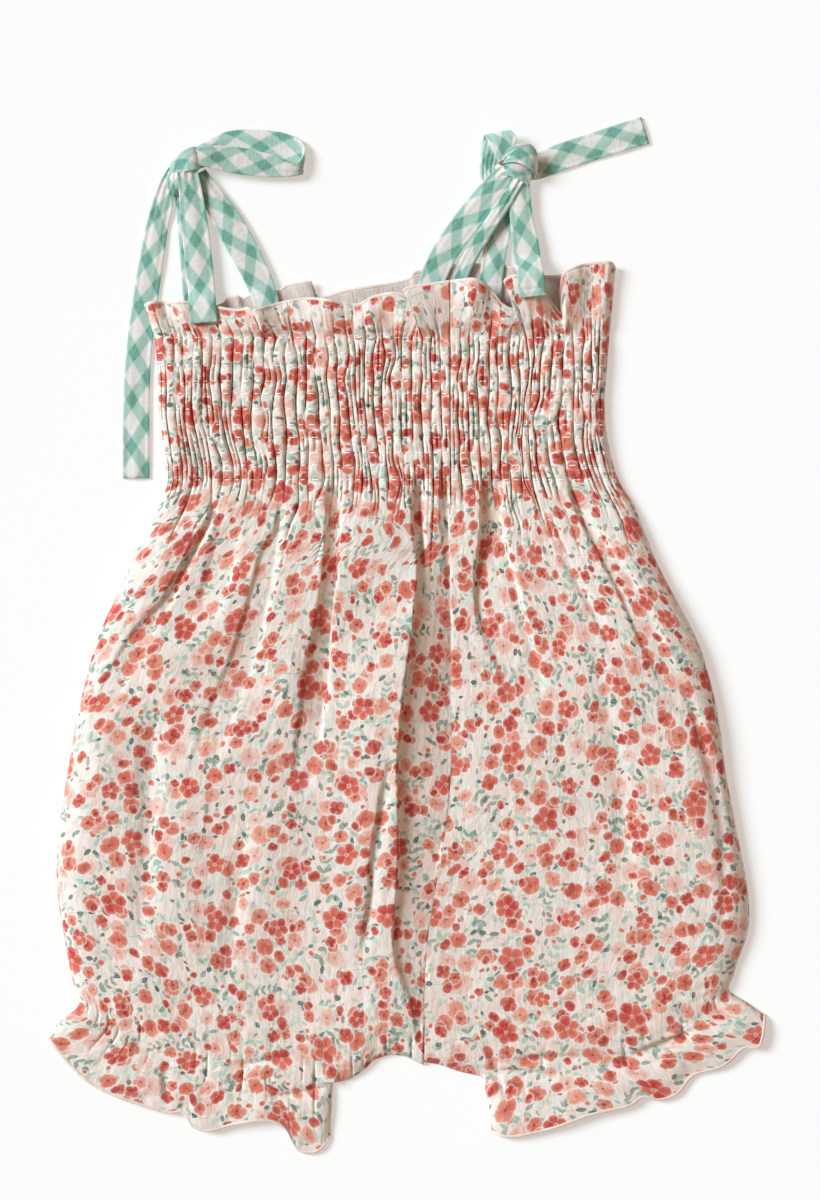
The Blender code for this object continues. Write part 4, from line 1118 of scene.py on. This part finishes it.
CRISP = np.radians(50)   # from this angle on, a bend of the cloth looks like a crisp crease


def add_panel(face, side, scene):
    """One half of the front or back, with its rolled hems."""
    cloth, colours = scene.romper_cloth, scene.romper_colours
    shape = panel_shape(face, side, cloth)
    right_side, wrong_side = floral(colours)
    order = slice(None) if side == "left" else slice(None, None, -1)
    points, present, uv = shape.points[:, order], shape.present[:, order], shape.uv[:, order]
    materials = (right_side, wrong_side) if face == "front" else (wrong_side, right_side)
    piece = add_mesh(f"cloth_{face}_{side}", points[present], grid_quads(present).tolist(), uv[present], materials)
    piece.data.set_sharp_from_angle(angle=CRISP)
    wall = piece.modifiers.new("cloth wall", "SOLIDIFY")
    wall.thickness = cloth.thickness
    wall.offset = -1.0
    wall.material_offset = 1
    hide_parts(f"{face}_{side}")
    hems = add_hems(face, side, shape, scene)
    return piece, hems


def add_hems(face, side, shape, scene):
    """Rolled hems along the top ruffle and the leg ruffle, each a narrow thick ribbon on the edge."""
    cloth, colours = scene.romper_cloth, scene.romper_colours
    width = cloth.hem_width / MM
    lines = ((shape.points[0], shape.points[1]),
             (shape.points[-1, :shape.leg_columns + 1], shape.points[-2, :shape.leg_columns + 1]))
    shapes = []
    for edge, inside in lines:
        outward = unit(edge - inside)
        middle = edge - [0, 0, cloth.thickness / MM / 2]
        outer, inner = middle + outward * 0.25 * width, middle - outward * 0.75 * width
        thickness = np.full((1, len(edge)), cloth.hem_thickness / MM)
        shapes.append(ribbon_shape(outer[None], inner[None], thickness, 10, 0.8))
    material = shared_material("rolled hem", hem_material, "rolled hem", colours.hem, colours)
    piece = add_mesh(f"hem_{face}_{side}", *joined(shapes), (material,))
    outwards(piece)
    return piece


def outwards(piece):
    """Turn a closed piece's faces outwards."""
    form = bmesh.new()
    form.from_mesh(piece.data)
    bmesh.ops.recalc_face_normals(form, faces=form.faces)
    form.to_mesh(piece.data)
    form.free()


def add_elastic(side, scene):
    """Stitches of the elastic thread: a short dash over each crest of each row, some left out."""
    cloth, colours = scene.romper_cloth, scene.romper_colours
    shape = panel_shape("front", side, cloth)
    gap = (LAST_ELASTIC - FIRST_ELASTIC) / (THREAD_ROWS - 1)
    wanted = FIRST_ELASTIC + gap * np.arange(THREAD_ROWS)
    rows = np.abs(shape.place[:, None] - wanted).argmin(axis=0)
    starts = shape.steps * np.arange(shape.gathers) + 2
    columns = starts[:, None] + np.arange(5)
    paths = shape.points[rows[:, None, None], columns]
    paths = paths.reshape(-1, 5, 3)
    kept = np.random.default_rng(DIVISIONS["front", side].seed + 50).random(len(paths)) > 0.12
    paths = paths[kept]
    thread = cloth.thread / MM
    paths = paths + [0, 0, thread * 0.35]
    paths[:, [0, -1], 2] -= thread * 0.8
    half = np.array((0.0, thread * 0.62, 0.0))
    material = shared_material("sewing thread", plain_material, "sewing thread", colours.sewing, colours.ground)
    shape_of_all = ribbon_shape(paths - half, paths + half, np.full(paths.shape[:2], thread), 6, 1.0)
    piece = add_mesh(f"elastic_{side}", *shape_of_all, (material,))
    outwards(piece)
    return piece


def cloth_trees(*faces):
    """Search trees over the visible panels of these faces."""
    bpy.context.view_layer.update()
    depsgraph = bpy.context.evaluated_depsgraph_get()
    return [BVHTree.FromObject(bpy.data.objects[f"cloth_{face}_{side}"], depsgraph)
            for face in faces for side in ("left", "right")]


def height_under(trees, x, y):
    """Top of the panels at one place, or the floor."""
    hits = [tree.ray_cast(Vector((x * MM, y * MM, 1.0)), Vector((0, 0, -1)))[0] for tree in trees]
    return max([hit.z / MM for hit in hits if hit is not None], default=0.0)


TIE_SPAN = 5             # stations to each side over which a tie bridges what lies under it


def tie_edges(tie, trees, thickness):
    """The tie's two edge lines. It lies on what is under it, smoothed along its length."""
    centres = curve_through(tie.stations, 10 * len(tie.stations))
    widths = centres[:, 3]
    centres = centres[:, :3].copy()
    centres[:, 2] = LAYER_MIDDLE + LAYER * np.maximum(centres[:, 2], 0)
    heading = unit(np.gradient(centres[:, :2], axis=0))
    square = np.column_stack((-heading[:, 1], heading[:, 0], np.zeros(len(centres))))
    across = square * widths[:, None] / 2
    under = np.array([[height_under(trees, *(centre + edge * lane)[:2]) for lane in (-1, -0.5, 0, 0.5, 1)]
                      for centre, edge in zip(centres, across)]).max(axis=1)
    padded = np.pad(under, TIE_SPAN, mode="edge")
    under = np.max([padded[start:start + len(under)] for start in range(2 * TIE_SPAN + 1)], axis=0)
    floor = box_blur(under, TIE_SPAN, 0) + thickness / 2 + 0.25
    centres[:, 2] = np.maximum(centres[:, 2], floor)
    return centres - across, centres + across


def pleats_and_wrinkles(seed, stations, sides, pleats, reach, depth, wrinkle):
    """Lift of a ribbon's points: pleats that fade from its first station, and soft wrinkles."""
    turn = 2 * np.pi * np.arange(sides) / sides
    across = np.cos(turn)
    rng = np.random.default_rng(seed)
    fade = np.exp(-np.linspace(0, 1, stations) / reach)[:, None]
    folds = np.cos(np.pi * pleats * (across + 0.25 * rng.normal())) * depth * fade
    lanes = spline_weights(5, (across + 1) * 2)
    knots = max(stations // 9, 3)
    down = spline_weights(knots, np.linspace(0, knots - 1, stations))
    return folds + down @ rng.normal(size=(knots, 5)) @ lanes.T * wrinkle


def edge_groove(ties, widths, sides):
    """Dent of the edge stitching, on both faces and both sides of a tie: a narrow bell."""
    turn = 2 * np.pi * np.arange(sides) / sides
    off = widths[:, None] / 2 * np.abs(np.cos(turn)) - (widths[:, None] / 2 - ties.seam_inset / MM)
    return -0.16 * np.exp(-(off / 0.45) ** 2) * np.sign(np.sin(turn))


TIE_SIDES = 44           # points of a tie's outline
END_GROOVE = 0.2         # how deep the end's hem is stitched in


def add_tie(tie, number, trees, scene):
    """One tie stretch from its knot to its end."""
    ties = scene.romper_ties
    thickness = ties.thickness / MM * tie.layers
    edge_a, edge_b = tie_edges(tie, trees, thickness)
    count = len(edge_a)
    widths = np.linalg.norm(edge_b - edge_a, axis=1)
    bend = pleats_and_wrinkles(100 + number, count, TIE_SIDES, tie.pleats, 0.16, 0.42, 0.16)
    bend = bend + edge_groove(ties, widths, TIE_SIDES)
    middle = (edge_a + edge_b) / 2
    to_end = np.linalg.norm(middle - middle[-1], axis=1)[:, None]
    bend = bend - END_GROOVE * np.exp(-((to_end - ties.end_hem / MM) / 0.7) ** 2)
    points, faces, uv = ribbon_shape(edge_a[None], edge_b[None], np.full((1, count), thickness), TIE_SIDES,
                                     0.35, bend)
    uv[:, 1] += tie.shift * MM
    material = shared_material("gingham cotton", gingham_material, ties)
    piece = add_mesh(f"{tie.name}_cloth", points, faces, uv, (material,))
    outwards(piece)
    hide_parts(tie.name)
    return piece


def ribbon_of(ribbon, seed, thickness, ties):
    """A ribbon of a half bow, from its two edge lines."""
    line = curve_through(ribbon.stations, 9 * len(ribbon.stations))
    edge_a, edge_b = line[:, :3], line[:, 3:]
    bend = pleats_and_wrinkles(seed, len(line), TIE_SIDES, ribbon.pleats, 0.5, 0.3, 0.12)
    widths = np.linalg.norm(edge_b - edge_a, axis=1)
    bend = bend + edge_groove(ties, widths, TIE_SIDES) * np.clip(widths / 8 - 0.5, 0, 1)[:, None]
    return ribbon_shape(edge_a[None], edge_b[None], np.full((1, len(line)), thickness), TIE_SIDES, 0.35, bend)


def core_shape(core):
    """An ellipsoid: half sizes times cosines and sines of its latitude and longitude."""
    latitude = np.linspace(-np.pi / 2, np.pi / 2, 17)[1:-1, None]
    longitude = 2 * np.pi * np.arange(24) / 24
    points = np.stack(np.broadcast_arrays(core.x + core.half_x * np.cos(latitude) * np.cos(longitude),
                                          core.y + core.half_y * np.cos(latitude) * np.sin(longitude),
                                          core.z + core.half_z * np.sin(latitude)), axis=-1)
    index = np.arange(15 * 24).reshape(15, 24)
    beside = np.roll(index, -1, axis=1)
    quads = np.stack((index[:-1], beside[:-1], beside[1:], index[1:]), axis=-1).reshape(-1, 4)
    points = points.reshape(-1, 3)
    caps = [index[0, ::-1].tolist(), index[-1].tolist()]
    return points, quads.tolist() + caps, points[:, :2] * MM


def add_loop(loop, number, scene):
    """A bow loop: out, round its fold, and back."""
    ties = scene.romper_ties
    shape = ribbon_of(loop, 200 + number, ties.thickness / MM, ties)
    material = shared_material("gingham cotton", gingham_material, ties)
    piece = add_mesh(f"{loop.name}_cloth", *shape, (material,))
    outwards(piece)
    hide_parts(loop.name)
    return piece


def add_knot(side, wraps, scene):
    """A knot: the turns of tie wound over its rounded middle."""
    ties = scene.romper_ties
    shapes = [ribbon_of(wrap, 300 + number, 1.1, ties) for number, wrap in enumerate(wraps)]
    shapes.append(core_shape(CORES[side]))
    material = shared_material("gingham cotton", gingham_material, ties)
    piece = add_mesh(f"tie_{side}_knot_cloth", *joined(shapes), (material,))
    outwards(piece)
    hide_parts(f"tie_{side}_knot")
    return piece


# ---------------------------------------------------------------- operators


class ROMPER_OT_stage(bpy.types.Operator):
    """Make the pale floor, the soft light and the camera"""
    bl_idname = "romper.stage"
    bl_label = "Stage"

    def execute(self, context):
        stage = context.scene.romper_stage
        mesh = bpy.data.meshes.new("floor")
        reach = 14.0
        mesh.from_pydata([(-reach, -reach, 0), (reach, -reach, 0), (reach, reach, 0), (-reach, reach, 0)],
                         [], [(0, 1, 2, 3)])
        mesh.materials.append(floor_material(stage.floor_colour))
        floor = bpy.data.objects.new("floor", mesh)
        context.scene.collection.objects.link(floor)
        camera = bpy.data.objects.new("camera", bpy.data.cameras.new("camera"))
        camera.data.lens = stage.lens
        camera.data.sensor_width = 36.0
        camera.location = (*stage.centre, stage.view_height * stage.lens / camera.data.sensor_width)
        context.scene.collection.objects.link(camera)
        context.scene.camera = camera
        lamp = bpy.data.lights.new("key light", "SUN")
        lamp.angle = stage.key_softness
        lamp.energy = stage.key_power
        key = bpy.data.objects.new("key light", lamp)
        lamp.color = (0.75, 0.91, 1.0)
        key.location = (-1.0, 0.42, 0.78)
        key.rotation_euler = (-key.location).to_track_quat("-Z", "Y").to_euler()
        context.scene.collection.objects.link(key)
        world = bpy.data.worlds.new("soft studio light")
        world.use_nodes = True
        world.node_tree.nodes["Background"].inputs["Color"].default_value = (1.0, 0.72, 0.56, 1.0)
        world.node_tree.nodes["Background"].inputs["Strength"].default_value = stage.sky
        context.scene.world = world
        context.scene.view_settings.view_transform = "Standard"
        return {"FINISHED"}


class ROMPER_OT_backs(bpy.types.Operator):
    """Make the two back halves, which lie on the floor"""
    bl_idname = "romper.backs"
    bl_label = "Backs"

    def execute(self, context):
        for side, flat in (("left", (0.165, 0.35)), ("right", (0.14, 0.35))):
            piece, hems = add_panel("back", side, context.scene)
        return {"FINISHED"}


class ROMPER_OT_fronts(bpy.types.Operator):
    """Make the two front halves, which lie on the backs"""
    bl_idname = "romper.fronts"
    bl_label = "Fronts"

    def execute(self, context):
        for side, flat in (("left", (0.2, 0.35)), ("right", (0.14, 0.35))):
            piece, hems = add_panel("front", side, context.scene)
            elastic = add_elastic(side, context.scene)
        return {"FINISHED"}


class ROMPER_OT_ties(bpy.types.Operator):
    """Make the gingham ties, their loops and their knots"""
    bl_idname = "romper.ties"
    bl_label = "Ties"

    def execute(self, context):
        scene = context.scene
        backs, fronts = cloth_trees("back"), cloth_trees("front")
        for number, tie in enumerate(TIES):
            piece = add_tie(tie, number, backs + fronts if tie.over_front else backs, scene)
            side = "left" if "left" in tie.name else "right"
        for number, loop in enumerate((LEFT_LOOP, RIGHT_LOOP)):
            piece = add_loop(loop, number, scene)
        for side, wraps in (("left", LEFT_WRAPS), ("right", RIGHT_WRAPS)):
            piece = add_knot(side, wraps, scene)
        return {"FINISHED"}


class ROMPER_PT_panel(bpy.types.Panel):
    """The romper's pieces and settings"""
    bl_idname = "ROMPER_PT_panel"
    bl_label = "Bubble romper"
    bl_space_type = "VIEW_3D"
    bl_region_type = "UI"
    bl_category = "Romper"

    def draw(self, context):
        scene = context.scene
        for group in GROUPS:
            box = self.layout.box()
            settings = getattr(scene, group)
            for name in GROUPS[group].__annotations__:
                box.prop(settings, name)
        for operator in OPERATORS:
            self.layout.operator(operator.bl_idname)


GROUPS = {"romper_cloth": RomperCloth, "romper_colours": RomperColours, "romper_ties": RomperTies,
          "romper_stage": RomperStage}
OPERATORS = (ROMPER_OT_stage, ROMPER_OT_backs, ROMPER_OT_fronts, ROMPER_OT_ties)


def register():
    for kind in (*GROUPS.values(), *OPERATORS, ROMPER_PT_panel):
        bpy.utils.register_class(kind)
    for name, kind in GROUPS.items():
        setattr(bpy.types.Scene, name, PointerProperty(type=kind))


def unregister():
    for name in GROUPS:
        delattr(bpy.types.Scene, name)
    for kind in reversed((*GROUPS.values(), *OPERATORS, ROMPER_PT_panel)):
        bpy.utils.unregister_class(kind)


def main():
    register()
    bpy.ops.romper.stage()
    bpy.ops.romper.backs()
    bpy.ops.romper.fronts()
    bpy.ops.romper.ties()


if __name__ == "__main__":
    main()
